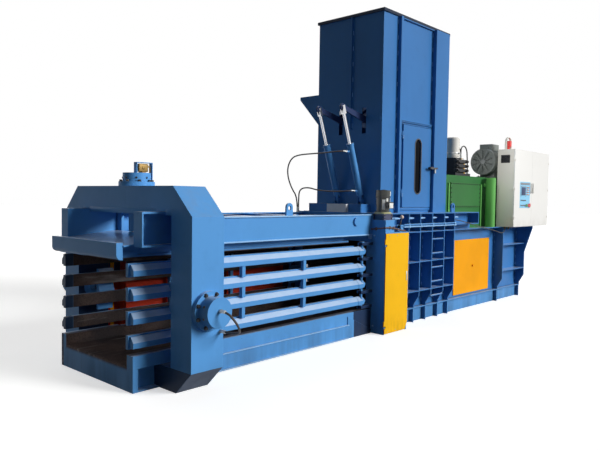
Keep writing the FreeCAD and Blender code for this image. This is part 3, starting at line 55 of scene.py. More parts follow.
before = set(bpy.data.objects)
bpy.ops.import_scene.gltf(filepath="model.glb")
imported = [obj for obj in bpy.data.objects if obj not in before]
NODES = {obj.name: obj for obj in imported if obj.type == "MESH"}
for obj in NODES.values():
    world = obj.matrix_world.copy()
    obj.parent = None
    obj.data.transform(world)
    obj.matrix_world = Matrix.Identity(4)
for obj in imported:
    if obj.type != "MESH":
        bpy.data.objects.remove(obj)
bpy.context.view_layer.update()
ROOT = "machine"

# ---- places read from the CAD frame --------------------------------------------------------------------------------
SQUEEZE_Z = 0.85
FLANGE_FACE_Y = 1.337
FRAME_TOP = 2.09
HUB_TOP_R = 0.155
HOPPER_LOW_Y = -0.639
WINDOW_X, WINDOW_Z, WINDOW_R, WINDOW_HALF = 4.841, 2.525, 0.084, 0.355
RIBS = (4.301, 4.638, 5.008, 5.399, 5.742)
POSTS = (7.697, 8.73)
BEAM_LOW, BEAM_TOP = 1.453, 1.759
RAILS = (0.505, 0.75, 0.99, 1.235)
RAIL_END_X = -0.53
PANEL_FACE_Y = -1.094
WALL_FACE_Y = 0.692
GEARMOTOR = (3.64, -0.83, 1.68)
GUARD_FACE_Y = -0.989
MOTOR_Y, MOTOR_Z = -0.46, 2.755
FILTER = (6.638, -0.3, 2.855)
REAR_FLANGE_X, RAM_Z = 8.7995, 0.8
STATION_END_X, GLAND_X = 3.5105, 7.672
FLOOR_GLOW = 0.58
TANK_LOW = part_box("oil_tank")[0]
HOPPER_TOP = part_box("hopper_shaft")[1].z
CABINET_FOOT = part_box("cabinet_body")[0].z
FAN_FACE_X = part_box("pump_motor")[0].x
COVER_LOW, COVER_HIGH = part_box("tank_cover")
PANEL_LOW, PANEL_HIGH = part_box("control_panel")
DOOR_LOW, DOOR_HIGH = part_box("hopper_door")

AXES = {"x": Vector((1, 0, 0)), "y": Vector((0, 1, 0)), "z": Vector((0, 0, 1))}
WHITE = (1, 1, 1, 1)


def linear(code):
    """A hex colour such as 4f86bd as linear RGBA."""
    channels = [int(code[i:i + 2], 16) / 255 for i in (0, 2, 4)]
    return tuple(c / 12.92 if c <= 0.04045 else ((c + 0.055) / 1.055) ** 2.4 for c in channels) + (1.0,)


def toned(colour, gain, lift=0.0):
    """The colour made darker or paler."""
    return tuple(min(1.0, c * gain + lift) for c in colour[:3]) + (1.0,)


# ---- shader building -----------------------------------------------------------------------------------------------
class Level:
    """One number in a material; arithmetic on it adds Math nodes."""

    def __init__(self, nodes, socket):
        self.nodes, self.socket = nodes, socket

    def maths(self, operation, *others):
        node = self.nodes.node("ShaderNodeMath", {"operation": operation})
        for place, value in zip(node.inputs, (self, *others)):
            self.nodes.put(value, place)
        return Level(self.nodes, node.outputs[0])

    def __add__(self, other):
        return self.maths("ADD", other)

    def __sub__(self, other):
        return self.maths("SUBTRACT", other)

    def __mul__(self, other):
        return self.maths("MULTIPLY", other)

    def __rsub__(self, other):
        return (self * -1.0) + other

    __radd__, __rmul__ = __add__, __mul__

    def size(self):
        return self.maths("ABSOLUTE")

    def most(self, other):
        return self.maths("MAXIMUM", other)

    def rise(self, low, high):
        """0 below low and 1 above high, smooth between; low above high turns it over."""
        if low > high:
            return 1.0 - self.rise(high, low)
        node = self.nodes.node("ShaderNodeMapRange", {"interpolation_type": "SMOOTHSTEP"}, Value=self, From_Min=low,
                               From_Max=high)
        return Level(self.nodes, node.outputs["Result"])


class Nodes:
    """The node tree of a material or of the surroundings."""

    def __init__(self, owner):
        owner.use_nodes = True
        self.tree = owner.node_tree
        self.tree.nodes.clear()

    def put(self, value, place):
        """Links a socket or a level to an input, or sets a number or a colour on it."""
        if isinstance(value, Level):
            value = value.socket
        if isinstance(value, bpy.types.NodeSocket):
            self.tree.links.new(value, place)
        else:
            place.default_value = linear(value) if isinstance(value, str) else value

    def node(self, kind, settings=None, **values):
        """A node of one kind: its settings first, then what its sockets hold (underscores stand for spaces)."""
        node = self.tree.nodes.new(kind)
        for key, value in (settings or {}).items():
            setattr(node, key, value)
        for key, value in values.items():
            self.put(value, node.inputs[key.replace("_", " ")])
        return node

    def seen(self):
        """1 where the camera, a reflection or clear glass sees the surroundings, 0 where they light the object."""
        path, seen = self.node("ShaderNodeLightPath"), 0.0
        for output in ("Is Camera Ray", "Is Glossy Ray", "Is Transmission Ray"):
            seen = Level(self, path.outputs[output]).most(seen)
        return seen

    def end(self, seen, lit, shown, output):
        """Ends the tree: lit is what lights the object, and shown is what is seen."""
        mix, out = self.node("ShaderNodeMixShader"), self.node(output)
        for value, place in zip((seen, lit.outputs[0], shown.outputs[0]), mix.inputs):
            self.put(value, place)
        self.put(mix.outputs[0], out.inputs["Surface"])


class Finish(Nodes):
    """A material under construction: patterns read Object coordinates in metres."""

    def __init__(self, name, colour):
        self.material = bpy.data.materials.new(name)
        super().__init__(self.material)
        self.shader = self.node("ShaderNodeBsdfPrincipled")
        self.put(self.shader.outputs[0], self.node("ShaderNodeOutputMaterial").inputs["Surface"])
        self.coords = self.node("ShaderNodeTexCoord")
        self.paint = linear(colour) if isinstance(colour, str) else tuple(colour)

    def axes(self, output="Object"):
        parts = self.node("ShaderNodeSeparateXYZ", Vector=self.coords.outputs[output])
        return [Level(self, parts.outputs[n]) for n in range(3)]

    def noise(self, scale, detail=3.0, rough=0.55, stretch=(1, 1, 1), shift=0.0):
        place = self.node("ShaderNodeMapping", Vector=self.coords.outputs["Object"], Scale=stretch,
                          Location=(shift, shift * 0.7, shift * 1.3))
        made = self.node("ShaderNodeTexNoise", Vector=place.outputs[0], Scale=scale, Detail=detail, Roughness=rough)
        return Level(self, made.outputs[0])

    def mix(self, share, a, b):
        node = self.node("ShaderNodeMix", {"data_type": "RGBA"})
        for value, n in ((share, 0), (a, 6), (b, 7)):
            self.put(value, node.inputs[n])
        return node.outputs[2]

    def coat(self, share, colour):
        """Lays a colour over the paint so far."""
        self.paint = self.mix(share, self.paint, colour)

    def edges(self, radius=0.006):
        """1 near a sharp edge, and the rounded normal there."""
        soft = self.node("ShaderNodeBevel", {"samples": 4}, Radius=radius)
        flat = self.node("ShaderNodeNewGeometry")
        dot = self.node("ShaderNodeVectorMath", {"operation": "DOT_PRODUCT"})
        self.put(soft.outputs[0], dot.inputs[0])
        self.put(flat.outputs["Normal"], dot.inputs[1])
        return (1.0 - Level(self, dot.outputs["Value"])).rise(0.01, 0.12), soft.outputs[0]

    def done(self, roughness, metallic=0.0, height=None, strength=0.2, depth=0.002, normal=None, **others):
        values = {"Base_Color": self.paint, "Roughness": roughness, "Metallic": metallic, **others}
        if height is not None:
            bump = self.node("ShaderNodeBump", Strength=strength, Distance=depth, Height=height)
            if normal is not None:
                self.put(normal, bump.inputs["Normal"])
            normal = bump.outputs[0]
        if normal is not None:
            values["Normal"] = normal
        for key, value in values.items():
            self.put(value, self.shader.inputs[key.replace("_", " ")])
        return self.material


# ---- finishes ------------------------------------------------------------------------------------------------------
def scraped_steel(f):
    """Colour, roughness and metal share of plates that bales rub along: brown rust with brighter drag marks."""
    broad = f.noise(2.3, 4.0, shift=4.0)
    drag = f.noise(9.0, 4.0, 0.6, stretch=(0.12, 1.0, 1.0))
    fine = f.noise(46.0)
    rust = f.mix(broad.rise(0.35, 0.65), "393435", "594b47")
    rust = f.mix(fine.rise(0.45, 0.7) * 0.5, rust, "262124")
    bright = drag.rise(0.56, 0.7) * 0.55
    return f.mix(bright, rust, "86807f"), 0.72 - bright * 0.45, bright * 0.8, fine


def machine_paint(name, colour, wear=0.5, channel=False, lip=False, recess=False, yoke=False, rough=0.36):
    """Machine enamel: dusty and glossy on top faces, painted paler there and along sharp edges as painted highlight,
    grimy near the floor, with chipped edges and rust freckles.

    Parts on their own also show: channel, the steel that bales rub bare; lip, the hopper's dark rim; recess, the bay
    at the end of the base darkened to navy as painted shade; yoke, the squeeze frame's foot and far leg darkened to
    near-black navy as painted shade.
    """
    f = Finish(name, colour)
    x, y, z = f.axes()
    up = f.axes("Normal")[2]
    broad, mottle = f.noise(0.7), f.noise(7.0, 4.0, shift=2.0)
    streak = f.noise(5.0, stretch=(1.0, 1.0, 0.1), shift=7.0)
    grain = f.noise(60.0, 2.0)
    dim, pale = toned(f.paint, 0.62), toned(f.paint, 1.18, 0.02)
    f.coat(broad.rise(0.4, 0.75) * 0.3, dim)
    f.coat(streak.rise(0.55, 0.8) * 0.16, pale)
    f.coat(mottle.rise(0.5, 0.8) * 0.14, dim)
    dust = up.rise(0.55, 0.9) * mottle.rise(0.3, 0.75) * 0.38
    f.coat(dust, "8f9296")
    tops, rubbed = (up.rise(0.5, 0.61) if channel and not recess else up.rise(0.75, 0.97)), 0.0
    # Top faces, and in the channel the leaning upper faces of the rails, are painted paler: painted highlight.
    f.coat(tops * (0.4 + 0.35 * mottle), "c9dcf0")
    if recess:
        # The bay at the end of the base is darkened to navy: painted shade.
        inset = x.rise(3.085, 3.095) * x.rise(3.509, 3.506) * y.size().rise(0.695, 0.705) * y.size().rise(0.935, 0.925)
        f.coat(inset * 0.92, "141b38")
    if yoke:
        # The foot band and the far leg are darkened to near-black navy: painted shade.
        leg = y.rise(0.945, 0.949) * y.rise(0.9515, 0.9505) * z.rise(1.46, 1.44)
        f.coat(z.rise(0.2425, 0.2395).most(leg) * 0.9, "10172f")
    grime = z.rise(0.42, 0.02) * streak.rise(0.3, 0.75) * (0.2 + 0.4 * wear)
    f.coat(grime, "2c2725")
    edge, normal = f.edges()
    # Sharp edges are painted paler: painted highlight.
    f.coat(edge * 0.35, pale)
    chips = edge * grain.rise(0.52, 0.62) * mottle.rise(0.42, 0.6) * wear
    freckles = grain.rise(0.68, 0.74) * broad.rise(0.52, 0.66) * wear
    bare = chips.most(freckles * 0.8)
    f.coat(bare, "4b352c")
    roughness = rough + dust * 0.6 + grime * 0.4 + bare * 0.35 + mottle * 0.08
    metallic, height = 0.0, grain * 0.25 + mottle * 0.5 - bare * 0.8
    if channel:
        scraped, scraped_rough, scraped_metal, fine = scraped_steel(f)
        inner = y.size().rise(0.652, 0.637) * z.rise(1.358, 1.346) * z.rise(0.2, 0.24)
        inner = inner * x.rise(-0.442, -0.432).most(y.rise(0.1, -0.1)).most(z.rise(0.4, 0.38))
        floor = up.rise(0.6, 0.9) * z.rise(0.392, 0.382) * z.rise(0.215, 0.235) * y.size().rise(0.715, 0.705)
        # The far rails' front ends are not rubbed bare; their blue paint is darkened to near-black navy: painted shade.
        front = x.rise(-0.434, -0.442) * y.rise(0.5, 0.6) * z.rise(0.39, 0.42) * z.rise(1.36, 1.35)
        f.coat(front * 0.9, "12182e")
        ends = y.rise(0.695, 0.715) * x.rise(-0.5, -0.512) * z.rise(0.385, 0.37)
        rubbed = inner.most(floor * (0.75 + 0.25 * broad)).most(ends * 0.85)
        f.coat(rubbed, scraped)
        roughness = roughness + rubbed * (scraped_rough - roughness)
        metallic = rubbed * scraped_metal
        height = height + rubbed * fine
    if lip:
        f.coat(z.rise(HOPPER_TOP - 0.047, HOPPER_TOP - 0.043) * 0.93, "10141f")
    return f.done(roughness, metallic, height, 0.18, 0.0015, normal, Specular_IOR_Level=0.12,
                  Coat_Weight=tops * (1.0 - rubbed), Coat_Roughness=0.22)


def tank_paint(name, colour, trim):
    """Green enamel; the upright stiffeners that stand proud are the lighter green."""
    f = Finish(name, colour)
    y = f.axes()[1]
    mottle, broad = f.noise(8.0, 4.0), f.noise(1.1, shift=3.0)
    stain = f.noise(5.0, stretch=(1.0, 1.0, 0.08), shift=5.0)
    f.coat(y.rise(TANK_LOW.y + 0.016, TANK_LOW.y + 0.014), trim)
    f.coat(broad.rise(0.4, 0.75) * 0.3, "1f4426")
    oil = stain.rise(0.6, 0.78) * 0.4
    f.coat(oil, "1c1d12")
    up = f.axes("Normal")[2]
    f.coat(up.rise(0.55, 0.9) * mottle.rise(0.3, 0.7) * 0.5, "4a4a3a")
    edge, normal = f.edges()
    # Sharp edges are painted the lighter green: painted highlight.
    f.coat(edge * 0.3, trim)
    return f.done(0.4 + mottle * 0.1 - oil * 0.3, 0.0, mottle, 0.12, 0.0015, normal, Specular_IOR_Level=0.12)


def enclosure_paint(name, colour, soil):
    """Textured powder coat with faint handling marks round the middle and dust along the foot."""
    f = Finish(name, colour)
    z = f.axes()[2]
    grain, marks = f.noise(240.0, 2.0), f.noise(4.0, 4.0, shift=9.0)
    hands = marks.rise(0.52, 0.75) * 0.1
    foot = z.rise(CABINET_FOOT + 0.22, CABINET_FOOT) * marks.rise(0.3, 0.7) * 0.15
    f.coat(hands, soil)
    f.coat(foot, "6f6a60")
    edge, normal = f.edges(0.004)
    f.coat(edge * 0.25, soil)
    return f.done(0.46 + grain * 0.1, 0.0, grain, 0.1, 0.0006, normal)


def guard_paint(name, colour, navy_shade_above=None):
    """Orange guard enamel with sun fading, scuffs and runs of grime; above the given height it is navy, as painted
    shade.
    """
    f = Finish(name, colour)
    z = f.axes()[2]
    broad, fine = f.noise(1.4), f.noise(30.0)
    scuff = f.noise(12.0, 4.0, 0.65, stretch=(1.0, 1.0, 0.25), shift=6.0)
    f.coat(broad.rise(0.35, 0.75) * 0.35, toned(f.paint, 0.72))
    f.coat(scuff.rise(0.64, 0.8) * 0.35, "8a6a3a")
    f.coat(z.rise(0.35, 0.02) * scuff.rise(0.35, 0.7) * 0.25, "3a2c20")
    # Above the given height the guard is painted navy: painted shade.
    if navy_shade_above is not None:
        f.coat(z.rise(navy_shade_above - 0.01, navy_shade_above + 0.01), "24324a")
    # Faces turned to -X are painted redder: painted shade.
    side = (f.axes("Normal")[0] * -1.0).rise(0.7, 0.95)
    f.coat(side * 0.7, "d8451a")
    edge, normal = f.edges(0.004)
    chips = edge * fine.rise(0.5, 0.62)
    f.coat(chips * 0.7, "5a4033")
    return f.done(0.38 + scuff * 0.12 + chips * 0.3, 0.0, fine, 0.1, 0.001, normal, Specular_IOR_Level=0.05)


def gearmotor_paint(name):
    """Dark cast housing that catches a sharp highlight, on an olive flange; below the flange it is darkened to navy."""
    f = Finish(name, "b4b584")
    z, grain = f.axes()[2], f.noise(50.0)
    f.coat(z.rise(1.8, 1.803), "272c27")
    f.coat(z.rise(1.772, 1.768), "1b2750")
    f.coat(grain.rise(0.5, 0.75) * 0.25, "23261f")
    return f.done(0.17 + grain * 0.1, 0.0, grain, 0.1, 0.0008, Specular_IOR_Level=0.6)


def bare_metal(name, colour, roughness, spots="3a3532", grime=0.3, stretch=(1, 1, 1), metallic=1.0):
    """Turned, plated or cast metal with fine marks and dirt that gathers in patches."""
    f = Finish(name, colour)
    lines, patch = f.noise(120.0, 3.0, 0.6, stretch=stretch), f.noise(6.0, 4.0, shift=3.0)
    dirt = patch.rise(0.48, 0.78) * grime
    f.coat(lines.rise(0.3, 0.8) * 0.25, toned(f.paint, 0.7))
    f.coat(dirt, spots)
    return f.done(roughness + lines * 0.12 + dirt * 0.5, metallic - dirt * 0.6, lines, 0.08, 0.0006)


def moulded(name, colour, roughness=0.45, coat=0.0):
    """Plastic or rubber with a fine grain and a little dust."""
    f = Finish(name, colour)
    fine, dust = f.noise(160.0, 2.0), f.noise(9.0, shift=2.0)
    f.coat(dust.rise(0.5, 0.8) * 0.22, "77736c")
    return f.done(roughness + dust * 0.15, 0.0, fine, 0.12, 0.0005, Coat_Weight=coat)


def glazing(name, colour):
    """Dark acrylic with wipe marks that only its gloss shows."""
    f = Finish(name, colour)
    wipe = f.noise(6.0, 3.0, 0.6, stretch=(1.0, 1.0, 0.3))
    f.coat(wipe.rise(0.5, 0.8) * 0.3, "23262e")
    return f.done(0.06 + wipe.rise(0.45, 0.8) * 0.22, Specular_IOR_Level=0.02)


def ram_steel(name):
    """Bare wear plate of the ram and its shear edge."""
    f = Finish(name, WHITE)
    f.paint, roughness, metal, fine = scraped_steel(f)
    edge, normal = f.edges()
    f.coat(edge * 0.5, "a39b94")
    return f.done(roughness, metal, fine, 0.2, 0.0015, normal)


def hose_cover(name, colour):
    """Wrapped rubber cover: fine cloth marks across the hose, scuffed brown in places."""
    f = Finish(name, colour)
    wrap, scuff = f.noise(150.0, 2.0, 0.4), f.noise(11.0, shift=5.0)
    f.coat(scuff.rise(0.45, 0.75) * 0.5, "4a3a31")
    return f.done(0.5 + scuff * 0.2, 0.0, wrap, 0.3, 0.0008, Sheen_Weight=0.15)


MOULDED = {
    "plate": ("bright_plates", "e4e6e2", 0.3), "knob": ("lever_knob", "e6cdbf", 0.3),
    "conduit": ("conduit_brown", "4e3226"), "cable": ("cable_black", "1b1b1e", 0.5),
    "red": ("red_lens", "d2241f", 0.18, 0.4), "amber": ("amber_lens", "e6b22a", 0.2, 0.4),
    "blue_lens": ("blue_lens", "2b5fc4", 0.2, 0.4), "green_button": ("green_button", "1f9a46", 0.25, 0.3),
    "black": ("black_moulding", "1a1a1d", 0.42), "panel": ("panel_blue", "7fc4e6", 0.35),
    "panel_grey": ("panel_grey", "7a7f86", 0.4),
}


def make_finishes(look):
    """Every finish by its name."""
    blue, body, trim, wear = look.machine, look.body, look.tank_trim, look.wear
    return {
        "blue": machine_paint("machine_blue", blue, wear),
        "channel": machine_paint("machine_blue_channel", blue, wear, channel=True),
        "walls": machine_paint("machine_blue_walls", body, wear, channel=True),
        "hopper": machine_paint("machine_blue_hopper", body, wear * 0.7, lip=True, rough=0.3),
        "yoke": machine_paint("machine_blue_yoke", blue, wear, yoke=True),
        "station": machine_paint("machine_blue_station", blue, wear, channel=True, recess=True),
        # A paler copy of the frame blue that stands for lit blue: painted highlight.
        "pale": machine_paint("machine_lit_blue_copy", "8fbfea", wear * 0.6),
        # A darker copy of the frame blue that stands for blue in shade: painted shade.
        "navy": machine_paint("machine_shaded_blue_copy", "22335c", wear * 0.6, rough=0.42),
        "grey": machine_paint("motor_grey", "767c78", 0.4, rough=0.42),
        "orange": guard_paint("guard_orange", look.guard),
        "yellow": guard_paint("guard_yellow", look.door),
        # The far guard and the closing sheet turn navy above 1.0 m: painted shade.
        "far_guard": guard_paint("far_guard_red", "c8402a", 1.0),
        "green": tank_paint("tank_green", look.tank, trim),
        "cover_green": tank_paint("tank_cover_green", "356f3a", "356f3a"),
        "light_green": tank_paint("column_green", trim, trim),
        "beige": enclosure_paint("enclosure_beige", look.cabinet_side, "a39f92"),
        "white": enclosure_paint("enclosure_white", look.cabinet_front, "c9c7bf"),
        "silver": gearmotor_paint("gearmotor_housing"),
        "worn": ram_steel("ram_wear_plate"),
        "dark": bare_metal("blackened_steel", "2f3033", 0.45, grime=0.35, metallic=0.7),
        "bright": bare_metal("hard_chrome", "d9dadd", 0.1, grime=0.04, stretch=(1, 1, 0.2)),
        "zinc": bare_metal("zinc_plate", "a8aaa8", 0.36),
        "brass": bare_metal("dull_brass", "b08a48", 0.36),
        "aged_brass": bare_metal("aged_brass", "7d6434", 0.45, "2e2418", 0.7, metallic=0.6),
        "weld": bare_metal("painted_weld", toned(blue, 1.25, 0.05), 0.38, "39424f", metallic=0.0),
        "rubber": hose_cover("hose_black", "17161a"),
        "window": glazing("smoked_window", "07080c"),
        "screen": glazing("panel_screen", "4d5874"),
        **{key: moulded(*values) for key, values in MOULDED.items()},
    }


def by_member(groups):
    """Turns {group: "a b"} into {a: group, b: group}."""
    return {member: group for group, members in groups.items() for member in members.split()}


NODE_FINISH = by_member({
    "channel": "discharge_table side_rails_near side_rails_far tension_plate",
    # The prepress flap takes the darker copy of the frame blue: painted shade.
    "station": "base_frame tie_frame", "navy": "prepress_flap", "yellow": "tie_door",
    "walls": "press_wall_near press_wall_far press_deck", "yoke": "squeeze_frame",
    "blue": "side_cylinder_near side_cylinder_far top_cylinder upper_frame flap_barrel_near flap_barrel_far hinge_pins",
    "hopper": "hopper_shaft hopper_door cabinet_bracket",
    "bright": "side_rod_near side_rod_far top_rod ram_rod flap_rod_near flap_rod_far",
    "dark": "tie_lever main_cylinder twister_shaft needle_carriage hydraulic_pump valve_block",
    "worn": "main_ram", "orange": "service_cover", "far_guard": "far_guard", "beige": "oil_filter cabinet_body",
    "black": "hopper_door_handle motor_fan", "panel": "control_panel", "window": "door_window",
    "silver": "tie_gearmotor", "grey": "pump_motor", "green": "oil_tank", "cover_green": "tank_cover",
    "light_green": "return_column", "brass": "filler_breather",
    "white": "cabinet_door_left cabinet_door_right junction_box",
    "red": "beacon_lamp stop_button emergency_stop", "green_button": "start_button", "zinc": "cylinder_bolts",
    "rubber": "flap_hoses power_hoses", "cable": "control_cable",
})
FINISHES = {}


# ---- modelling helpers ---------------------------------------------------------------------------------------------
def facing(axis):
    """The rotation that turns +Z to an axis given as a name, a signed name or a vector."""
    if isinstance(axis, str):
        axis = AXES[axis[-1]] * (-1 if axis[0] == "-" else 1)
    return Vector((0, 0, 1)).rotation_difference(Vector(axis)).to_matrix().to_4x4()


def around(count, radius, start=0.0):
    """Points on a circle: their number and two coordinates."""
    for n in range(count):
        angle = math.tau * n / count + start
        yield n, radius * math.cos(angle), radius * math.sin(angle)


def link(made):
    bpy.context.scene.collection.objects.link(made)
    return made


def route_curve(name, points, radius, order=3):
    """A tube whose one NURBS spline has the points as its control points."""
    data = bpy.data.curves.new(name, "CURVE")
    data.dimensions = "3D"
    data.resolution_u, data.bevel_depth, data.bevel_resolution = 10, radius, 5
    data.use_fill_caps = radius > 0
    spline = data.splines.new("NURBS")
    spline.points.add(len(points) - 1)
    for point, place in zip(spline.points, points):
        point.co = (*place, 1.0)
    spline.use_endpoint_u = True
    spline.order_u = order
    return link(bpy.data.objects.new(name, data))


def pipe_mesh(points, radius, order=3):
    """The points on a NURBS line through the route and the mesh of a round tube along it."""
    curves = [route_curve("route", points, r, order) for r in (0.0, radius)]
    graph = bpy.context.evaluated_depsgraph_get()
    line, tube = (bpy.data.meshes.new_from_object(curve.evaluated_get(graph)) for curve in curves)
    for curve in curves:
        data = curve.data
        bpy.data.objects.remove(curve)
        bpy.data.curves.remove(data)
    return [tuple(v.co) for v in line.vertices], tube


def cut(bm, place, normal, clear=False):
    """Cuts the whole mesh along a plane, and takes away what lies beyond it if clear."""
    bmesh.ops.bisect_plane(bm, geom=bm.verts[:] + bm.edges[:] + bm.faces[:], plane_co=place, plane_no=normal,
                           clear_outer=clear)


def raise_faces(part, faces, step):
    """Extrudes the faces by a step."""
    grown = bmesh.ops.extrude_face_region(part, geom=faces)
    bmesh.ops.translate(part, vec=step, verts=[v for v in grown["geom"] if isinstance(v, bmesh.types.BMVert)])


class Part:
    """A mesh under construction; each method adds one form to it."""

    def __init__(self, mesh=None):
        self.bm = bmesh.new()
        if mesh:
            self.bm.from_mesh(mesh)

    def add(self, part, matrix=None):
        """Merges a small part's doubles, turns its faces outwards, places it and adds it."""
        bmesh.ops.remove_doubles(part, verts=part.verts, dist=1e-6)
        bmesh.ops.recalc_face_normals(part, faces=part.faces)
        if matrix is not None:
            bmesh.ops.transform(part, matrix=matrix, verts=part.verts)
        mesh = bpy.data.meshes.new("part")
        part.to_mesh(mesh)
        part.free()
        self.take(mesh)

    def take(self, mesh):
        """Adds a mesh that has no other use."""
        self.bm.from_mesh(mesh)
        bpy.data.meshes.remove(mesh)

    def turned(self, place, axis, steps, *profile, turn=0.0, capped=True):
        """A turned solid of (distance along the axis, radius) points; capped ends it on the axis at both ends."""
        if capped:
            profile = ((profile[0][0], 0), *profile, (profile[-1][0], 0))
        part = bmesh.new()
        points = [part.verts.new((r, 0, d)) for d, r in profile]
        edges = [part.edges.new(pair) for pair in zip(points, points[1:])]
        bmesh.ops.spin(part, geom=points + edges, cent=(0, 0, 0), axis=(0, 0, 1), angle=math.tau, steps=steps,
                       use_merge=True)
        self.add(part, Matrix.Translation(place) @ facing(axis) @ Matrix.Rotation(turn, 4, "Z"))

    def disc(self, place, axis, radius, height, chamfer=0.0, steps=20):
        """A round slab whose outer edge is chamfered."""
        self.turned(place, axis, steps, (0, radius), (height - chamfer, radius), (height, radius - chamfer))

    def bolt(self, place, axis, across, height, washer=True, turn=0.0):
        """Hex head with a chamfered crown on a thin washer."""
        r = across / math.sqrt(3)
        lift = height * 0.15 if washer else 0.0
        if washer:
            self.disc(place, axis, r * 1.25, lift, 0, 12)
        base = Vector(place) + facing(axis) @ Vector((0, 0, lift))
        self.turned(base, axis, 6, (0, r), (height * 0.78, r), (height, r * 0.84), turn=turn)

    def slabs(self, bevel, *boxes, segments=2):
        """Boxes with rounded edges, each given by its low and its high corner."""
        for box in boxes:
            low, high = Vector(box[:3]), Vector(box[3:])
            part = bmesh.new()
            size = high - low
            bmesh.ops.create_cube(part, size=1.0,
                                  matrix=Matrix.Translation((low + high) / 2) @ Matrix.Diagonal((*size, 1)))
            if bevel:
                bmesh.ops.bevel(part, geom=part.edges[:], offset=min(bevel, min(size) * 0.3), segments=segments,
                                profile=0.5, affect="EDGES", material=-1)
            self.add(part)

    def stitches(self, x_y, z_range, pitch, length, width):
        """An upright row of short weld beads at one (x, y), each with ripples along its length."""
        ripples = max(2, round(length / (width * 1.4)))
        profile = [(0, 0)]
        for n in range(ripples):
            d = length * (n + 0.5) / ripples
            profile += [(d - length * 0.3 / ripples, width * 0.42), (d + length * 0.2 / ripples, width * 0.5)]
        for n in range(max(1, int((z_range[1] - z_range[0] - length) / pitch) + 1)):
            self.turned((*x_y, z_range[0] + n * pitch), "z", 6, *profile, (length, 0), turn=0.3, capped=False)

    def ring(self, place, axis, radius, wire, steps=40):
        """A round wire hoop."""
        part = bmesh.new()
        bmesh.ops.create_circle(part, segments=8, radius=wire,
                                matrix=Matrix.Translation((radius, 0, 0)) @ Matrix.Rotation(math.pi / 2, 4, "X"))
        bmesh.ops.spin(part, geom=part.verts[:] + part.edges[:], cent=(0, 0, 0), axis=(0, 0, 1), angle=math.tau,
                       steps=steps, use_merge=True)
        self.add(part, Matrix.Translation(place) @ facing(axis))

    def crimp(self, place, axis, radius):
        """Union nut and ribbed sleeve of a hose end; it starts at the port and runs along the hose."""
        self.turned(place, axis, 6, (0, radius * 1.75), (0.02, radius * 1.75), (0.024, radius * 1.5))
        ribs = [(0.024, radius * 1.3)]
        for n in range(5):
            at = 0.03 + n * 0.009
            ribs += [(at, radius * 1.42), (at + 0.005, radius * 1.42), (at + 0.007, radius * 1.3)]
        self.turned(place, axis, 16, *ribs, (0.078, radius * 1.3), (0.081, radius * 1.12))

    def obround(self, centre, axis, half, radius, width, height, round_over):
        """A rubber profile that follows a round-ended opening: half is half its straight length."""
        sides, part = 48, bmesh.new()
        bmesh.ops.create_circle(part, cap_ends=True, segments=sides, radius=radius + width)
        for v in part.verts:
            v.co.y += math.copysign(half, v.co.y)
        inner = bmesh.ops.inset_region(part, faces=part.faces[:], thickness=width, use_even_offset=True,
                                       use_boundary=True)
        kept = set(inner["faces"])
        if len(kept) != sides:
            raise RuntimeError("the round-ended profile was not made")
        bmesh.ops.delete(part, geom=[f for f in part.faces if f not in kept], context="FACES")
        raise_faces(part, part.faces[:], (0, 0, height))
        bmesh.ops.recalc_face_normals(part, faces=part.faces)
        rims = [e for e in part.edges if len(e.link_faces) == 2 and e.calc_face_angle() > 1.0 and
                min(v.co.z for v in e.verts) > height * 0.5]
        bmesh.ops.bevel(part, geom=rims, offset=round_over, segments=2, profile=0.5, affect="EDGES", material=-1)
        self.add(part, Matrix.Translation(centre) @ facing(axis))

    def pipe(self, points, radius, order=3):
        """A rigid round pipe along the points."""
        self.take(pipe_mesh(points, radius, order)[1])

    def save(self, name, finish, body=ROOT):
        """Makes the mesh an object with its finish, riding on a body."""
        bm = self.bm
        bmesh.ops.recalc_face_normals(bm, faces=bm.faces)
        for face in bm.faces:
            face.smooth = True
        for edge in bm.edges:
            edge.smooth = len(edge.link_faces) == 2 and edge.calc_face_angle() < math.radians(35)
        mesh = bpy.data.meshes.new(name)
        bm.to_mesh(mesh)
        bm.free()
        mesh.materials.append(FINISHES[finish])
        made = link(bpy.data.objects.new(name, mesh))
        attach(made, body)
        return made


# ---- sizes and colours that a user would change --------------------------------------------------------------------
def shade(name, description, hexcode):
    return FloatVectorProperty(name=name, description=description, subtype="COLOR", size=4, min=0.0, max=1.0,
                               default=linear(hexcode))


def length(name, description, default, low, high):
    return FloatProperty(name=name, description=description, default=default, min=low, max=high, unit="LENGTH",
                         subtype="DISTANCE", precision=4)


def strength(name, description, default, high=10.0, **unit):
    return FloatProperty(name=name, description=description, default=default, min=0.0, max=high, **unit)


def angle(name, description, degrees):
    return FloatProperty(name=name, description=description, default=math.radians(degrees), unit="ROTATION",
                         subtype="ANGLE")


class BALER_PG_paint(PropertyGroup):
    """Colours of the machine's enamels and how worn they are."""
    machine: shade("Frame", "Enamel of the outlet frame, the rails and the upper beams", "5494d0")
    body: shade("Press body", "Enamel of the press walls, the deck and the hopper", "3a76b4")
    guard: shade("Service cover", "Enamel of the service cover and the guard strips", "f6a512")
    door: shade("Guard door", "Enamel of the tie station's guard door", "f4ba1c")
    tank: shade("Tank", "Enamel of the oil tank", "2f6e38")
    tank_trim: shade("Tank trim", "Enamel of the tank's stiffeners and the return column", "62a956")
    cabinet_side: shade("Cabinet body", "Powder coat of the control cabinet's body", "dedad0")
    cabinet_front: shade("Cabinet leaves", "Powder coat of the control cabinet's leaves", "e2e1dd")
    wear: strength("Wear", "How chipped and grimy the machine enamel is", 0.5, 1.0, subtype="FACTOR")


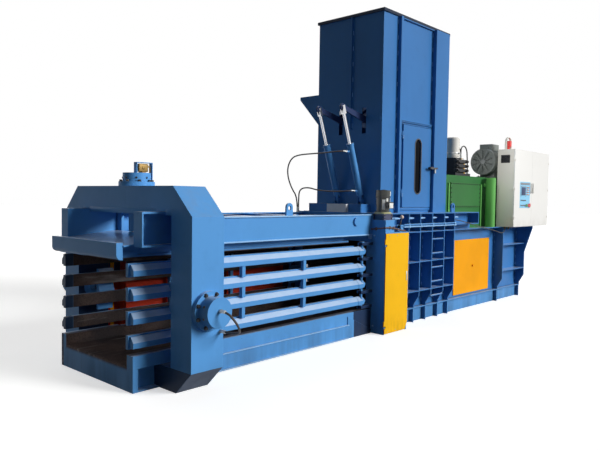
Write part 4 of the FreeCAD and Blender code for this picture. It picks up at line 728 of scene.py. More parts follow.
class BALER_PG_fittings(PropertyGroup):
    """Sizes of the bolts, weld beads and trim."""
    flange_bolt: length("Flange bolt", "Width across flats of the cylinder flange bolts", 0.03, 0.005, 0.036)
    flange_head: length("Flange bolt head", "Height of those heads with their washer", 0.02, 0.003, 0.02)
    flange_circle: length("Bolt circle", "Radius of the flange bolt circle", 0.176, 0.15, 0.19)
    cover_bolt: length("Cover bolt", "Width across flats of the tank cover bolts", 0.017, 0.005, 0.03)
    cover_pitch: length("Cover bolt pitch", "Distance between tank cover bolts", 0.082, 0.03, 0.3)
    bead_width: length("Weld bead", "Width of the stitch weld beads", 0.011, 0.003, 0.03)
    bead_length: length("Weld length", "Length of one stitch", 0.06, 0.01, 0.3)
    bead_pitch: length("Weld pitch", "Distance from one stitch to the next", 0.15, 0.05, 0.6)
    door_trim: length("Door trim", "Width of the bars round the hopper doorway", 0.04, 0.01, 0.08)
    gasket: length("Gasket", "Width of the window's rubber profile", 0.018, 0.005, 0.04)


class BALER_PG_stage(PropertyGroup):
    """Camera, lamps and floor."""
    place: FloatVectorProperty(name="Camera", description="Where the camera stands", default=(-3.844, -6.055, 1.992),
                               size=3, unit="LENGTH", subtype="TRANSLATION")
    azimuth: angle("Azimuth", "Heading of the view, from +Y towards +X", 47.387)
    pitch: angle("Pitch", "Tilt of the view above the horizontal", -2.584)
    roll: angle("Roll", "Turn of the camera about its view", 0.884)
    lens: FloatProperty(name="Lens", description="Focal length on a 36 mm sensor", default=36.675, min=10.0,
                        max=200.0, unit="CAMERA")
    key: strength("Key lamp", "Strength of the broad lamp on the operator's side", 3.6)
    back: strength("Back lamp", "Strength of the weak lamp behind and above", 0.6)
    fill: strength("Surrounding light", "Strength of the light from all sides", 0.065, 2.0)
    side: strength("Side lamp", "Power of the soft lamp over the tank that lights the cabinet's side", 7.5, 1000.0,
                   unit="POWER")
    floor: shade("Floor", "Colour of the plain floor", "e4e4e2")
    floor_bounce: shade("Floor bounce", "Colour of the light that the floor throws back at the machine", "424246")


def settings(kind):
    return getattr(bpy.context.scene, "baler_" + kind)


# ---- operators -----------------------------------------------------------------------------------------------------
def lamp(name, kind, energy, direction, place=(0, 0, 0), **values):
    """A lamp at a place whose light comes from a direction."""
    data = bpy.data.lights.new(name, kind)
    for key, value in {"energy": energy, **values}.items():
        setattr(data, key, value)
    made = link(bpy.data.objects.new(name, data))
    made.matrix_world = Matrix.Translation(place) @ facing(Vector(direction).normalized())
    return made


class BALER_OT_stage(Operator):
    """Pale floor, soft plain light and the camera at the photograph's angle"""
    bl_idname = "baler.stage"
    bl_label = "Stage and Camera"

    def execute(self, context):
        scene, look = context.scene, settings("stage")
        ca, sa, cp, sp = math.cos(look.azimuth), math.sin(look.azimuth), math.cos(look.pitch), math.sin(look.pitch)
        forward, right = Vector((sa * cp, ca * cp, sp)), Vector((ca, -sa, 0))
        up = right.cross(forward)
        across = right * math.cos(look.roll) + up * math.sin(look.roll)
        above = up * math.cos(look.roll) - right * math.sin(look.roll)
        data = bpy.data.cameras.new("camera")
        data.lens, data.sensor_width, data.clip_end = look.lens, 36.0, 200.0
        scene.camera = link(bpy.data.objects.new("camera", data))
        turn = Matrix((across, above, -forward)).transposed().to_4x4()
        scene.camera.matrix_world = Matrix.Translation(look.place) @ turn

        lamp("key_lamp", "SUN", look.key, (0.42, -0.83, 0.36), angle=math.radians(24))
        lamp("back_lamp", "SUN", look.back, (0.1, 0.7, 0.7), angle=math.radians(50))
        soft = lamp("side_lamp", "AREA", look.side, (-1.0, -0.15, 0.3), (5.9, -1.6, 3.3), size=1.1,
                    spread=math.radians(80))
        soft.visible_camera = soft.visible_glossy = False

        scene.world = bpy.data.worlds.new("surroundings")
        sky = Nodes(scene.world)
        sky.end(sky.seen(), sky.node("ShaderNodeBackground", Strength=look.fill, Color=WHITE),
                sky.node("ShaderNodeBackground", Strength=1.0, Color=WHITE), "ShaderNodeOutputWorld")

        material = bpy.data.materials.new("plain_floor")
        ground = Nodes(material)
        seen = ground.seen()
        matt, bounce = (ground.node("ShaderNodeBsdfPrincipled", Base_Color=colour, Roughness=0.9)
                        for colour in (look.floor, look.floor_bounce))
        glow = ground.node("ShaderNodeEmission", Color=WHITE, Strength=FLOOR_GLOW)
        both = ground.node("ShaderNodeAddShader")
        ground.put(matt.outputs[0], both.inputs[0])
        ground.put(glow.outputs[0], both.inputs[1])
        ground.end(seen, bounce, both, "ShaderNodeOutputMaterial")
        bm = bmesh.new()
        bmesh.ops.create_grid(bm, x_segments=2, y_segments=2, size=90.0)
        bmesh.ops.translate(bm, vec=(4.0, 0.0, -0.002), verts=bm.verts)
        mesh = bpy.data.meshes.new("floor")
        bm.to_mesh(mesh)
        bm.free()
        mesh.materials.append(material)
        link(bpy.data.objects.new("floor", mesh))
        scene.view_settings.view_transform = "Standard"
        return {"FINISHED"}


class BALER_OT_finishes(Operator):
    """Enamel, bare metal, rubber and glass for every node of the frame"""
    bl_idname = "baler.finishes"
    bl_label = "Finishes"

    def execute(self, context):
        FINISHES.update(make_finishes(settings("paint")))
        bare = sorted(set(NODES) - set(NODE_FINISH))
        if bare:
            raise RuntimeError(f"no finish for {bare}")
        for node, finish in NODE_FINISH.items():
            slots = NODES[node].material_slots
            for slot in slots:
                slot.material = FINISHES[finish]
            if not slots:
                NODES[node].data.materials.append(FINISHES[finish])
        return {"FINISHED"}


def moved(base, *points):
    """The points, each given from a base point."""
    return [tuple(b + p for b, p in zip(base, point)) for point in points]


SQUEEZE_HOSE = [(0, 1.475, 0.87), (0, 1.58, 0.87), (0.04, 1.641, 0.8), (0.105, 1.645, 0.705), (0.163, 1.58, 0.638),
                (0.165, 1.43, 0.618), (0.165, 1.287, 0.618)]
UPPER_HOSE = [*moved((3.5416, -0.3, 2.6959), (-0.12, 0, 0), (-0.215, 0, 0), (-0.285, 0.075, -0.01),
                     (-0.29, 0.25, -0.02), (-0.28, 0.54, -0.025), (-0.26, 0.84, -0.03), (-0.24, 1.02, -0.07),
                     (-0.22, 1.13, -0.21), (-0.2, 1.14, -0.38), (-0.18, 1.07, -0.56)),
              (3.4, 0.675, 1.989), (3.4, 0.675, 1.759)]
LOWER_HOSE = [*moved((3.7541, -0.3, 2.1071), (-0.12, 0, 0), (-0.215, 0, 0), (-0.285, 0.075, -0.01),
                     (-0.29, 0.3, -0.015), (-0.3, 0.58, 0), (-0.32, 0.78, 0.05), (-0.35, 0.94, 0.02)),
              (3.46, 0.705, 1.949), (3.46, 0.705, 1.759)]
FRONT_POWER = moved((6.761, 0, 2.78), (0, -0.19, 0), (0, -0.19, 0.13), (0.06, -0.2, 0.25), (0.19, -0.215, 0.29),
                    (0.3, -0.23, 0.21), (0.335, -0.243, 0.07), (0.33, -0.24, -0.12), (0.33, -0.24, -0.346))
REAR_POWER = moved((6.756, 0, 2.78), (0, -0.41, 0), (0, -0.41, 0.11), (0.06, -0.388, 0.215), (0.19, -0.385, 0.25),
                   (0.29, -0.385, 0.17), (0.295, -0.39, 0.03), (0.26, -0.42, -0.1), (0.26, -0.42, -0.286))
CABLE = [(5.752, -0.8, 1.65), (5.832, -0.8, 1.65), (6.052, -0.896, 1.608), (6.322, -0.9, 1.558),
         (6.602, -0.9, 1.512), (6.882, -0.9, 1.47), (7.152, -0.9, 1.432), (7.312, -0.902, 1.404),
         (7.482, -0.904, 1.372), (7.572, -0.907, 1.36), (7.642, -0.91, 1.386), (GLAND_X, -0.91, 1.431),
         (GLAND_X, -0.91, 1.48)]
POWER_HOSE, FLAP_HOSE = 0.024, 0.022  # outer diameters


def flexible(name, points, diameter, finish, nodes, sway=None):
    """A hose or cable on one smooth line; given sway, it is a mesh tube instead of a curve, and the two points in sway
    are not used.
    """
    if sway:
        path, tube = pipe_mesh(points, diameter / 2)
        made, extra = link(bpy.data.objects.new(name, tube)), {"path": path}
    else:
        made, extra = route_curve(name, points, diameter / 2), {}
    made.data.materials.clear()
    made.data.materials.append(FINISHES[finish])
    if sway:
        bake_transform(made)
    else:
        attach(made, ROOT)
    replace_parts(made, nodes)


class BALER_OT_hoses(Operator):
    """Hydraulic hoses and the control cable on their smooth routes"""
    bl_idname = "baler.hoses"
    bl_label = "Hoses and Cable"

    def execute(self, context):
        for name, points, run in (("squeeze_hose_near", [(x, -y, z) for x, y, z in SQUEEZE_HOSE], 0.7),
                                  ("squeeze_hose_far", SQUEEZE_HOSE, 0.7), ("power_hose_front", FRONT_POWER, 1.075),
                                  ("power_hose_rear", REAR_POWER, 0.93)):
            flexible(name, points, POWER_HOSE, "rubber", "power_hoses")
        for name, points, run, still in (("flap_hose_upper", UPPER_HOSE, 2.065, 9),
                                         ("flap_hose_lower", LOWER_HOSE, 1.425, 7)):
            flexible(name, points, FLAP_HOSE, "rubber", "flap_hoses", sway=(points[still], points[1]))
        flexible("control_cable_line", CABLE, 0.016, "cable", "control_cable")
        return {"FINISHED"}


class BALER_OT_flange_bolts(Operator):
    """Hexagon bolts with washers on the three cylinder flanges"""
    bl_idname = "baler.flange_bolts"
    bl_label = "Flange Bolts"

    def execute(self, context):
        size, p = settings("fittings"), Part()
        for n, a, b in around(8, size.flange_circle, math.tau / 16):
            for side in (-1, 1):
                p.bolt((a, side * FLANGE_FACE_Y, SQUEEZE_Z + b), (0, side, 0), size.flange_bolt, size.flange_head,
                       turn=n * 0.37)
            p.bolt((a, b, FRAME_TOP + 0.05), "z", size.flange_bolt, size.flange_head, turn=n * 0.29)
        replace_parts(p.save("flange_bolts", "dark"), "cylinder_bolts")
        return {"FINISHED"}


class BALER_OT_hose_ends(Operator):
    """Union nuts and crimped sleeves where the hoses meet their ports"""
    bl_idname = "baler.hose_ends"
    bl_label = "Hose Ends"

    def execute(self, context):
        p = Part()
        for side in (-1, 1):
            for x, y, z in (SQUEEZE_HOSE[0], SQUEEZE_HOSE[-1]):
                p.crimp((x, side * y, z), (0, side, 0), POWER_HOSE / 2)
        for route in (FRONT_POWER, REAR_POWER):
            p.crimp(route[0], "z", POWER_HOSE / 2)
            p.crimp(route[-1], "z", POWER_HOSE / 2)
        for route in (UPPER_HOSE, LOWER_HOSE):
            p.crimp(route[-1], "z", FLAP_HOSE / 2)
        p.save("hose_unions", "zinc")
        p = Part()
        for route in (UPPER_HOSE, LOWER_HOSE):
            p.crimp(route[0], "-x", FLAP_HOSE / 2)
        p.save("lift_hose_unions", "zinc", "lift_barrel_near")
        return {"FINISHED"}


class BALER_OT_hub_plugs(Operator):
    """Bleed plugs on the squeeze cylinders' hubs, and the port block and line on the top one"""
    bl_idname = "baler.hub_plugs"
    bl_label = "Hub Plugs"

    def execute(self, context):
        p = Part()
        for side in (-1, 1):
            for degrees in (25, 90, 155, 200, 250, 300):
                a = math.radians(degrees)
                out = Vector((math.cos(a), 0, math.sin(a)))
                p.turned(Vector((0, side * 1.405, SQUEEZE_Z)) + out * 0.1545, out, 12, (0, 0.013), (0.005, 0.013),
                         (0.007, 0.011), (0.007, 0.006), (0.003, 0.006))
        for _, a, b in around(8, 1.0, 0.2):
            out = Vector((a, b, 0))
            p.turned(Vector((0, 0, 2.185)) + out * (HUB_TOP_R - 0.0005), out, 12, (0, 0.012), (0.005, 0.012),
                     (0.007, 0.01), (0.007, 0.006), (0.003, 0.006))
        p.save("hub_plugs", "dark")
        p = Part()
        p.disc((0.07, 0, 2.24), "z", 0.046, 0.016, 0.003, 6)
        p.slabs(0.01, (0.01, -0.027, 2.254, 0.134, 0.027, 2.346), segments=3)
        p.turned((0.128, 0, 2.318), "x", 6, (0, 0.017), (0.01, 0.017), (0.012, 0.014), (0.02, 0.014))
        p.turned((0.07, -0.025, 2.3), "-y", 6, (0, 0.02), (0.006, 0.02), (0.008, 0.016))
        p.save("top_cylinder_port", "aged_brass")
        p = Part()
        p.pipe([(0.144, 0, 2.318), (0.163, 0, 2.318), (0.17, 0, 2.3), (0.17, 0, 2.25), (0.17, 0, 2.141)], 0.0085)
        p.disc((0.168, 0, 2.14), "z", 0.012, 0.018, 0.002, 6)
        p.save("top_port_line", "aged_brass")
        return {"FINISHED"}


class BALER_OT_frame_plates(Operator):
    """Outlet lips, closing sheets, a navy shade panel, flange edge highlights, gussets, skirts and rod sleeve, and the
    trimmed squeeze rails
    """
    bl_idname = "baler.frame_plates"
    bl_label = "Frame Plates"

    def execute(self, context):
        p, mouth, leg, outer, top = Part(), 0.684, 0.846, 0.952, 1.8505
        p.slabs(0.002, *((-0.203, a, low, -0.189, b, top) for a, b, low in (
            (-mouth, mouth, 1.79), (-outer, -leg, 1.79), (leg, outer, 1.79), (-leg, -mouth, 1.83),
            (mouth, leg, 1.83))), (0.189, -outer, 1.74, 0.203, outer, top))
        p.save("outlet_lip", "blue")
        p, face, low, high = Part(), 0.364, 0.3, 1.44
        p.slabs(0.001, (0.1995, 0.946, low, face, 0.951, high), (0.359, 0.838, low, face, 0.946, high))
        for z in (0.42, 0.86, 1.3):
            p.bolt((face, 0.87, z), "x", 0.013, 0.008)
        p.save("far_closing_sheet", "far_guard")
        p = Part()
        p.slabs(0.002, (0.218, 0.938, 0.31, 0.268, 0.9465, 1.43))
        p.save("far_closing_strip", "orange")
        p = Part()
        # A thin navy sheet where the far side shows only shade: painted shade.
        p.slabs(0.001, (3.205, 0.806, low, 3.511, 0.812, high))
        p.save("far_shade_panel", "navy")
        p = Part()
        p.slabs(0.002, *((0.2035, a, low, 2.95, a + 0.0305, high) for a in (-0.789, 0.7585)
                         for low, high in ((0.192, 0.203), (0.008, 0.018))))
        p.slabs(0.001, *((0.2145, a, low, 3.5085, a + 0.003, high) for a in (-0.7465, 0.7435)
                         for low, high in ((BEAM_LOW, BEAM_LOW + 0.017), (BEAM_TOP - 0.015, BEAM_TOP))))
        # Thin strips along the flange edges in the paler blue: painted highlight.
        p.save("flange_edge_highlights", "pale")
        p = Part()
        p.slabs(0.002, *((0.2025, a, 1.455, 0.214, a + 0.211, 1.85) for a in (-0.955, 0.744)))
        p.save("beam_gussets", "blue")
        p = Part()
        for y in (-0.554, 0.542):
            part = bmesh.new()
            outline = ((-0.592, 1.345), (-0.38, 1.345), (-0.345, 1.362), (-0.335, 1.4), (-0.505, 1.416),
                       (-0.525, 1.43), (-0.53, 1.5), (-0.592, 1.506))
            raise_faces(part, [part.faces.new([part.verts.new((x, y, z)) for x, z in outline])], (0, 0.012, 0))
            p.add(part)
        p.save("lip_skirts", "blue", "top_plate")
        p, inner, outer = Part(), 0.0802, 0.087
        p.turned((0, 0, 1.582), "z", 48, (0, inner), (0, outer), (0.236, outer), (0.238, 0.085), (0.238, inner),
                 (0, inner), capped=False)
        p.save("top_rod_sleeve", "blue", "tension_rod")
        for side in ("near", "far"):
            p = Part(NODES["side_rails_" + side].data)
            bmesh.ops.remove_doubles(p.bm, verts=p.bm.verts, dist=1e-6)
            cut(p.bm, (RAIL_END_X, 0, 0), (-1, 0, 0), True)
            bmesh.ops.holes_fill(p.bm, edges=[e for e in p.bm.edges if e.is_boundary])
            for level in RAILS:  # the upper part of each rail's outer face leans in to a ridge
                cut(p.bm, (0, 0, level), (0, 0, 1))
                for v in p.bm.verts:
                    if 0.75 < abs(v.co.y) < 0.76 and 0.005 < v.co.z - level < 0.063:
                        v.co.y -= math.copysign(0.046 * (v.co.z - level) / 0.057, v.co.y)
            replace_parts(p.save(f"rails_{side}_trimmed", "channel", "rails_" + side), "side_rails_" + side)
        return {"FINISHED"}


class BALER_OT_welds(Operator):
    """Stitch welds along the ribs of the press walls, the posts and the hopper"""
    bl_idname = "baler.welds"
    bl_label = "Weld Beads"

    def execute(self, context):
        size, p = settings("fittings"), Part()
        run = size.bead_pitch, size.bead_length, size.bead_width
        for side in (-1, 1):
            for places, edges, bays in (
                    (RIBS, (-0.0115, 0.0115), ((0.3, 0.5), (0.56, 0.96), (1.03, 1.44), (1.6, 1.74))),
                    (POSTS, (-0.0015, 0.0215), ((0.33, 0.57), (0.64, 1.08), (1.14, 1.44)))):
                for x in places:
                    for edge in edges:
                        for bay in bays:
                            p.stitches((x + edge, side * WALL_FACE_Y), bay, *run)
        p.save("wall_welds", "weld")
        p = Part()
        run = size.bead_pitch * 1.6, size.bead_length * 1.2, size.bead_width
        for x in (4.2285, 4.2875, 5.2635, 5.6915):
            p.stitches((x, HOPPER_LOW_Y - 0.0015), (1.82, 4.8), *run)
        for y in (-0.0675, -0.0395):
            p.stitches((3.8395, y), (3.1, 4.8), *run)
        p.save("hopper_welds", "weld")
        return {"FINISHED"}


class BALER_OT_doorway(Operator):
    """Bars round the hopper doorway, the window's gasket, hinge screws and the white grip of the latch"""
    bl_idname = "baler.doorway"
    bl_label = "Hopper Doorway"

    def execute(self, context):
        size, face = settings("fittings"), HOPPER_LOW_Y
        left, right = DOOR_LOW.x - 0.019, DOOR_HIGH.x + 0.003
        foot, low, high = DOOR_LOW.z - 0.046, DOOR_LOW.z, DOOR_HIGH.z
        p = Part()
        p.slabs(0.003, (left - size.door_trim, face - 0.02, foot, left, face, high + 0.044),
                (right, face - 0.02, foot, right + 0.02, face, high + 0.044),
                (left, face - 0.02, foot, right, face, low - 0.006),
                (left, face - 0.022, high + 0.006, right, face, high + 0.022),
                (left, face - 0.03, high + 0.034, right, face, high + 0.05))
        p.save("doorway_bars", "hopper")
        p = Part()
        p.obround((WINDOW_X, face - 0.0262, WINDOW_Z), "-y", WINDOW_HALF, WINDOW_R, size.gasket, 0.007, 0.003)
        p.save("window_gasket", "black", "access_door")
        p = Part()
        for z in (2.042, 2.07, 2.96, 2.988):
            p.bolt((DOOR_LOW.x + 0.037, face - 0.026, z), "-y", 0.01, 0.006, False, 0.2)
        p.save("door_hinge_screws", "zinc", "access_door")
        p = Part()
        p.turned((5.28, -0.73, 2.4315), "z", 24, (0, 0.013), (0.004, 0.0162), (0.02, 0.0158), (0.055, 0.0152),
                 (0.066, 0.016), (0.07, 0.0135))
        p.save("latch_grip", "white", "door_latch")
        return {"FINISHED"}


class BALER_OT_tank_fittings(Operator):
    """Cover bolts, filter band, valve coils, pressure gauge and breather rings of the oil tank"""
    bl_idname = "baler.tank_fittings"
    bl_label = "Tank Fittings"

    def execute(self, context):
        size, p, margin = settings("fittings"), Part(), 0.024
        x0, z0 = COVER_LOW.x + margin, COVER_LOW.z + margin
        wide, tall = COVER_HIGH.x - COVER_LOW.x - 2 * margin, COVER_HIGH.z - COVER_LOW.z - 2 * margin
        across, rise = (max(2, round(span / size.cover_pitch)) for span in (wide, tall))
        spots = [(x0 + wide * n / across, z) for n in range(across + 1) for z in (z0, z0 + tall)]
        spots += [(x, z0 + tall * n / rise) for n in range(1, rise) for x in (x0, x0 + wide)]
        for n, (x, z) in enumerate(spots):
            p.bolt((x, COVER_LOW.y, z), "-y", size.cover_bolt, 0.01, turn=n * 0.4)
        p.save("cover_bolts", "dark")

        p, inner, outer = Part(), 0.129, 0.1345
        x, y, z = FILTER
        p.turned((x, y, z), "z", 48, (0, inner), (0, outer), (0.005, 0.136), (0.019, 0.136), (0.024, outer),
                 (0.024, inner), (0, inner), capped=False)
        p.slabs(0.003, (x - 0.02, y - 0.158, z, x + 0.02, y - 0.134, z + 0.024))
        p.bolt((x + 0.02, y - 0.147, z + 0.012), "x", 0.01, 0.007)
        p.disc((x, y, 3.162), "z", 0.03, 0.01, 0.003, 6)
        p.save("filter_band", "zinc")

        p = Part()
        for z in (2.544, 2.629, 2.714):
            for a, b in ((6.452, 6.506), (6.816, 6.87)):
                p.slabs(0.004, (a, -0.503, z - 0.033, b, -0.437, z + 0.033),
                        (a + 0.01, -0.532, z - 0.02, b - 0.01, -0.5, z + 0.02))
        p.save("valve_coils", "black")

        p = Part()
        p.turned((6.7, -0.44, 2.745), "-y", 32, (0, 0.008), (0.018, 0.008), (0.018, 0.027), (0.022, 0.031),
                 (0.034, 0.031), (0.036, 0.028), (0.033, 0.026))
        p.save("pressure_gauge", "brass")
        p = Part()
        p.disc((6.7, -0.4732, 2.745), "-y", 0.0255, 0.0005, 0, 32)
        p.slabs(0, (6.6985, -0.4742, 2.74, 6.7015, -0.4736, 2.765))
        p.save("gauge_face", "white")

        p = Part()
        for _, a, b in around(12, 0.03):
            p.bolt((7.086 + a, -0.3 + b, 2.524), "z", 0.006, 0.004, False)
        p.turned((7.086, -0.3, 2.6945), "z", 24, (0, 0.034), (0, 0.0375), (0.01, 0.0375), (0.012, 0.0362),
                 (0.04, 0.0362), (0.048, 0.0375), (0.0495, 0.034), (0.0495, 0), capped=False)
        p.save("breather_rings", "zinc")
        return {"FINISHED"}


class BALER_OT_motor_fittings(Operator):
    """Wire guard, lifting eye, terminal lid and foot bolts of the pump's motor, and the pump's bolts"""
    bl_idname = "baler.motor_fittings"
    bl_label = "Motor Fittings"

    def execute(self, context):
        x, y, z = FAN_FACE_X, MOTOR_Y, MOTOR_Z
        p = Part()
        for r in (0.075, 0.11, 0.145, 0.18, 0.215, 0.24):
            p.ring((x - 0.0015, y, z), "x", r, 0.0032)
        for _, a, b in around(8, 1.0, 0.39):
            out = Vector((0, a, b))
            p.turned(Vector((x - 0.0015, y, z)) + out * 0.03, out, 8, (0, 0.003), (0.212, 0.003))
        p.disc((x - 0.0005, y, z), "-x", 0.045, 0.006, 0.002, 32)
        p.save("fan_guard_wires", "zinc")

        p = Part()
        p.disc((7.745, y, 2.983), "z", 0.026, 0.022, 0.004)
        p.ring((7.745, y, 3.036), "y", 0.026, 0.0075, 28)
        for fx in (7.718, 7.958):
            for fz in (z + 0.24, z + 0.33):
                p.bolt((fx, y - 0.1325, fz), "-y", 0.01, 0.006, False)
        for fx in (7.775, 8.125):
            for fy in (y - 0.13, y + 0.185):
                p.bolt((fx, fy, 2.474), "z", 0.024, 0.016)
        p.save("motor_bolts", "zinc")

        p = Part()
        p.slabs(0.004, (7.693, y - 0.136, 2.98, 7.983, y - 0.128, 3.1))
        p.slabs(0.003, (7.688, y - 0.1325, 3.099, 7.988, y + 0.1325, 3.109))
        p.turned((7.688, y - 0.055, 3.03), "-x", 16, (0, 0.022), (0.012, 0.022), (0.014, 0.018), (0.03, 0.018),
                 (0.034, 0.012))
        p.save("terminal_lid", "grey")

        p = Part()
        for (_, a, b), (_, c, d) in zip(around(8, 0.132, 0.2), around(8, 0.085, 0.2)):
            p.bolt((8.216, y + a, z + b), "-x", 0.016, 0.01)
            p.bolt((8.348, y + c, z + d), "-x", 0.012, 0.008)
        p.save("pump_bolts", "zinc")
        return {"FINISHED"}


class BALER_OT_cabinet_fittings(Operator):
    """Side vent, cable glands and swing handles of the control cabinet"""
    bl_idname = "baler.cabinet_fittings"
    bl_label = "Cabinet Fittings"

    def execute(self, context):
        p = Part()
        x, y0, y1, z0, z1 = 7.65, -0.985, -0.805, 2.725, 2.88
        proud, bar = 0.008, 0.014
        p.slabs(0.002, (x - proud, y0, z0, x, y0 + bar, z1), (x - proud, y1 - bar, z0, x, y1, z1),
                (x - proud, y0 + bar, z0, x, y1 - bar, z0 + bar), (x - proud, y0 + bar, z1 - bar, x, y1 - bar, z1))
        p.slabs(0, (x - 0.002, y0 + 0.01, z0 + 0.01, x - 0.0005, y1 - 0.01, z1 - 0.01))
        for n in range(9):
            z = z0 + 0.02 + n * 0.0135
            p.slabs(0.001, (x - 0.007, y0 + 0.012, z, x - 0.002, y1 - 0.012, z + 0.006))
        p.save("side_vent", "black")

        p = Part()
        for y, r in ((-0.91, 0.018), (-0.985, 0.012)):
            p.turned((GLAND_X, y, 1.4805), "-z", 16, (0, r * 1.5), (0.012, r * 1.5), (0.014, r * 1.2), (0.03, r * 1.15),
                     (0.042, r * 0.7))
        p.save("cable_glands", "black")

        for body, x in (("left_leaf", 8.438), ("right_leaf", 8.531)):
            p = Part()
            for z, r in ((2.33, 0.016), (2.17, 0.012)):
                p.turned((x, -1.0895, z), "-y", 20, (0, r), (0.006, r), (0.008, r * 0.85))
            p.slabs(0.003, (x - 0.014, -1.098, 2.14, x + 0.014, -1.0895, 2.36))
            p.slabs(0.005, (x - 0.009, -1.114, 2.15, x + 0.009, -1.1, 2.345), segments=3)
            p.slabs(0.001, (x - 0.008, -1.102, 2.318, x + 0.008, -1.096, 2.342))
            p.save("handle_" + body, "white", body)
        return {"FINISHED"}


class BALER_OT_panel_face(Operator):
    """Screen, tiles, lamps and switches of the control panel"""
    bl_idname = "baler.panel_face"
    bl_label = "Panel Face"

    def execute(self, context):
        x0, x1, z0, z1, face = PANEL_LOW.x, PANEL_HIGH.x, PANEL_LOW.z, PANEL_HIGH.z, PANEL_FACE_Y
        p = Part()
        p.slabs(0.001, (x0 + 0.05, -1.1035, z0 + 0.25, x0 + 0.25, -1.101, z0 + 0.41))
        p.save("panel_screen", "screen", "left_leaf")
        p = Part()
        p.slabs(0.001, *((x0 + a, face - 0.0035, z0 + low, x0 + b, face, z0 + 0.435) for a, b, low in (
            (0.03, 0.0415, 0.225), (0.2585, 0.27, 0.225), (0.0415, 0.2585, 0.42))))
        p.slabs(0.0008, (x0 + 0.02, face - 0.002, z0 + 0.455, x1 - 0.02, face, z1 - 0.016))
        rows = [z0 + 0.25 + n * 0.046 for n in range(4)]
        p.slabs(0.001, *((x0 + 0.295, face - 0.003, z, x0 + 0.325, face, z + 0.034) for z in rows))
        p.save("panel_bezels", "panel_grey", "left_leaf")
        for colour, finish, x in (("red", "red", 0.352), ("amber", "amber", 0.394), ("blue", "blue_lens", 0.436)):
            p = Part()
            for z in rows:
                p.turned((x0 + x, face, z + 0.017), "-y", 20, (0, 0.013), (0.004, 0.013), (0.005, 0.01),
                         (0.01, 0.0095), (0.012, 0.006))
            p.save("panel_lamps_" + colour, finish, "left_leaf")
        p = Part()
        for n in range(5):
            for z, top in ((0.15, ((0.011, 0.0115), (0.012, 0.01))), (0.05, ((0.014, 0.011), (0.016, 0.008)))):
                p.turned((x0 + 0.05 + n * 0.052, face, z0 + z), "-y", 20, (0, 0.015), (0.005, 0.015), (0.006, 0.012),
                         *top)
        p.save("panel_switches", "panel_grey", "left_leaf")
        return {"FINISHED"}


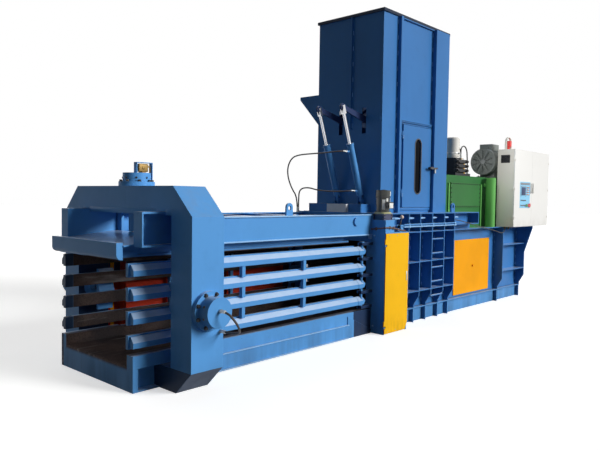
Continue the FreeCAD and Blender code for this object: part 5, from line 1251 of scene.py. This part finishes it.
class BALER_OT_tie_fittings(Operator):
    """Bolts, terminal box and white highlight plates of the gear motor, door screws, lever knob, conduits, pipe and
    station lugs
    """
    bl_idname = "baler.tie_fittings"
    bl_label = "Tie Station Fittings"

    def execute(self, context):
        x, y, z = GEARMOTOR
        p = Part()
        for _, a, b in around(8, 0.11, 0.39):
            p.bolt((x + a, y + b, z + 0.117), "z", 0.013, 0.009)
        for shift in (-0.085, 0.085):
            for rise in (0.025, 0.07):
                p.bolt((x + shift, y - 0.1, z + rise), "-y", 0.014, 0.009)
                p.bolt((x - 0.11, y + shift, z + rise), "-x", 0.014, 0.009)
        p.disc((x, y, z + 0.437), "z", 0.03, 0.006, 0.002)
        p.save("gearmotor_bolts", "dark")
        p = Part()
        p.slabs(0.003, (x - 0.064, y - 0.154, z + 0.256, x + 0.054, y - 0.086, z + 0.264))
        for rise in (0.113, 0.33):
            p.disc((x, y, z + rise), "z", 0.1105, 0.01, 0.002, 40)
        p.turned((x - 0.06, y - 0.12, z + 0.205), "-x", 16, (0, 0.016), (0.01, 0.016), (0.012, 0.013), (0.026, 0.012),
                 (0.028, 0.008))
        p.save("gearmotor_terminal", "dark")
        p = Part()
        # White plates where the housing shows highlights: in part nameplates, in part painted highlight.
        p.slabs(0.001, (x - 0.05, y - 0.1535, z + 0.176, x + 0.044, y - 0.1495, z + 0.25))
        for a, b, wide, low, high in ((-0.75, -0.66, 0.045, 0.155, 0.3), (0.34, -0.94, 0.045, 0.352, 0.415),
                                      (-0.34, -0.94, 0.03, 0.27, 0.318), (0.5, -0.87, 0.03, 0.165, 0.318)):
            reach = 0.1085 if low > 0.34 else 0.1065
            part = bmesh.new()
            bmesh.ops.create_cube(part, size=1.0, matrix=Matrix.Diagonal((wide, 0.004, high - low, 1)))
            p.add(part, Matrix.Translation((x + a * reach, y + b * reach, z + (low + high) / 2))
                  @ Matrix.Rotation(math.atan2(b, a) + math.pi / 2, 4, "Z"))
        p.save("gearmotor_highlight_plates", "plate")
        p = Part()
        for gx, gz in ((3.6, 0.045), (3.6, 1.45), (3.8, 0.045), (3.8, 1.45), (4.0, 1.45)):
            p.bolt((gx, GUARD_FACE_Y, gz), "-y", 0.012, 0.005, False)
        p.slabs(0.002, (4.06, -0.996, 0.76, 4.085, GUARD_FACE_Y, 0.9))
        p.save("guard_door_screws", "zinc", "guard_door")
        p = Part()
        ball = ((0.031 - 0.031 * math.cos(math.pi * n / 14), 0.031 * math.sin(math.pi * n / 14)) for n in range(1, 14))
        p.turned((4.01, -0.922, 1.687), "z", 24, (0, 0), *ball, (0.062, 0), capped=False)
        p.save("lever_knob", "knob", "hand_lever")
        front, face = 3.4985, -0.9665
        p = Part()
        p.pipe([(front + 0.012, -0.56, 1.556), (front, -0.56, 1.556), (front, -0.575, 1.556), (front, -0.72, 1.541),
                (front, -0.85, 1.553), (front, -0.955, 1.567), (front, -0.9868, 1.57), (3.535, -0.9868, 1.571),
                (3.565, -0.98, 1.571), (3.59, face, 1.571), (3.74, face, 1.559), (3.8, -0.974, 1.546),
                (3.86, -0.98, 1.533), (3.98, -0.98, 1.518), (4.05, -0.96, 1.512), (4.075, -0.94, 1.511),
                (4.075, -0.925, 1.505), (4.075, -0.92, 1.498)], 0.011)
        p.slabs(0.002, *((front - 0.012, y - 0.01, z - 0.022, STATION_END_X, y + 0.01, z + 0.022)
                         for y, z in ((-0.64, 1.5505), (-0.82, 1.549))),
                *((x - 0.01, face - 0.012, z - 0.022, x + 0.01, -0.9545, z + 0.022)
                  for x, z in ((3.64, 1.568), (3.73, 1.561))))
        p.save("station_conduit", "conduit")
        p, y, z, end = Part(), -0.8815, 1.596, 5.752
        p.pipe([(4.14, y, z), (4.145, y, z), (5.69, y, z), (5.735, y, 1.6), (end, -0.865, 1.625), (end, -0.84, 1.65),
                (end, -0.795, 1.65)], 0.011)
        p.save("wall_conduit", "blue")
        p = Part()
        p.pipe([(4.14, -0.88, 1.56), (5.78, -0.88, 1.56)], 0.0095, 2)
        p.slabs(0.002, *((x - 0.012, -0.8905, 1.545, x + 0.012, -0.869, 1.612) for x in RIBS))
        # The pipe and its clips are in the paler blue: painted highlight.
        p.save("wall_pipe", "pale")
        p = Part()
        for z, far in ((1.395, 1.437), (0.06, 0.1)):
            p.slabs(0.004, (3.47, -0.738, z, STATION_END_X, -0.696, z + 0.055))
            p.slabs(0.003, (3.488, -0.802, far, STATION_END_X, -0.778, far + 0.024))
        # The lugs are in the paler blue: painted highlight.
        p.save("station_lugs", "pale")
        return {"FINISHED"}


class BALER_OT_frame_studs(Operator):
    """Pegs on the ribs in the upper bays of the press walls and the bolts of the main cylinder's flange"""
    bl_idname = "baler.frame_studs"
    bl_label = "Frame Studs"

    def execute(self, context):
        p = Part()
        for side in (-1, 1):
            for x in (3.9, *RIBS):
                p.turned((x + 0.009, side * 0.8, 1.69), "x", 20, (0, 0.024), (0.012, 0.024), (0.014, 0.018),
                         (0.15, 0.017), (0.225, 0.011), (0.228, 0.008))
        # The pegs are in the paler blue: painted highlight.
        p.save("bay_pegs", "pale")
        p = Part()
        for _, a, b in around(12, 0.205, math.tau / 24):
            p.bolt((REAR_FLANGE_X, a, RAM_Z + b), "x", 0.03, 0.02)
        p.save("rear_flange_bolts", "zinc")
        return {"FINISHED"}


# ---- sidebar panel, registration -----------------------------------------------------------------------------------
ORDER = (BALER_OT_stage, BALER_OT_finishes, BALER_OT_hoses, BALER_OT_hose_ends, BALER_OT_flange_bolts,
         BALER_OT_hub_plugs, BALER_OT_frame_plates, BALER_OT_welds, BALER_OT_doorway, BALER_OT_tank_fittings,
         BALER_OT_motor_fittings, BALER_OT_cabinet_fittings, BALER_OT_panel_face, BALER_OT_tie_fittings,
         BALER_OT_frame_studs)


class BALER_PT_sidebar(Panel):
    """Lists the steps and the sizes and colours they use"""
    bl_idname = "BALER_PT_sidebar"
    bl_label = "Recycling Baler"
    bl_space_type = "VIEW_3D"
    bl_region_type = "UI"
    bl_category = "Baler"

    def draw(self, context):
        for kind in GROUPS:
            column = self.layout.column(heading=kind.title())
            group = settings(kind)
            for name in group.__annotations__:
                column.prop(group, name)
        for step in ORDER:
            self.layout.operator(step.bl_idname)


GROUPS = {"paint": BALER_PG_paint, "fittings": BALER_PG_fittings, "stage": BALER_PG_stage}
CLASSES = tuple(GROUPS.values()) + ORDER + (BALER_PT_sidebar,)


def register():
    for cls in CLASSES:
        bpy.utils.register_class(cls)
    for kind, group in GROUPS.items():
        setattr(bpy.types.Scene, "baler_" + kind, bpy.props.PointerProperty(type=group))


def unregister():
    for kind in GROUPS:
        delattr(bpy.types.Scene, "baler_" + kind)
    for cls in reversed(CLASSES):
        bpy.utils.unregister_class(cls)


def main():
    register()
    for step in ORDER:
        family, name = step.bl_idname.split(".")
        getattr(getattr(bpy.ops, family), name)()


if __name__ == "__main__":
    main()
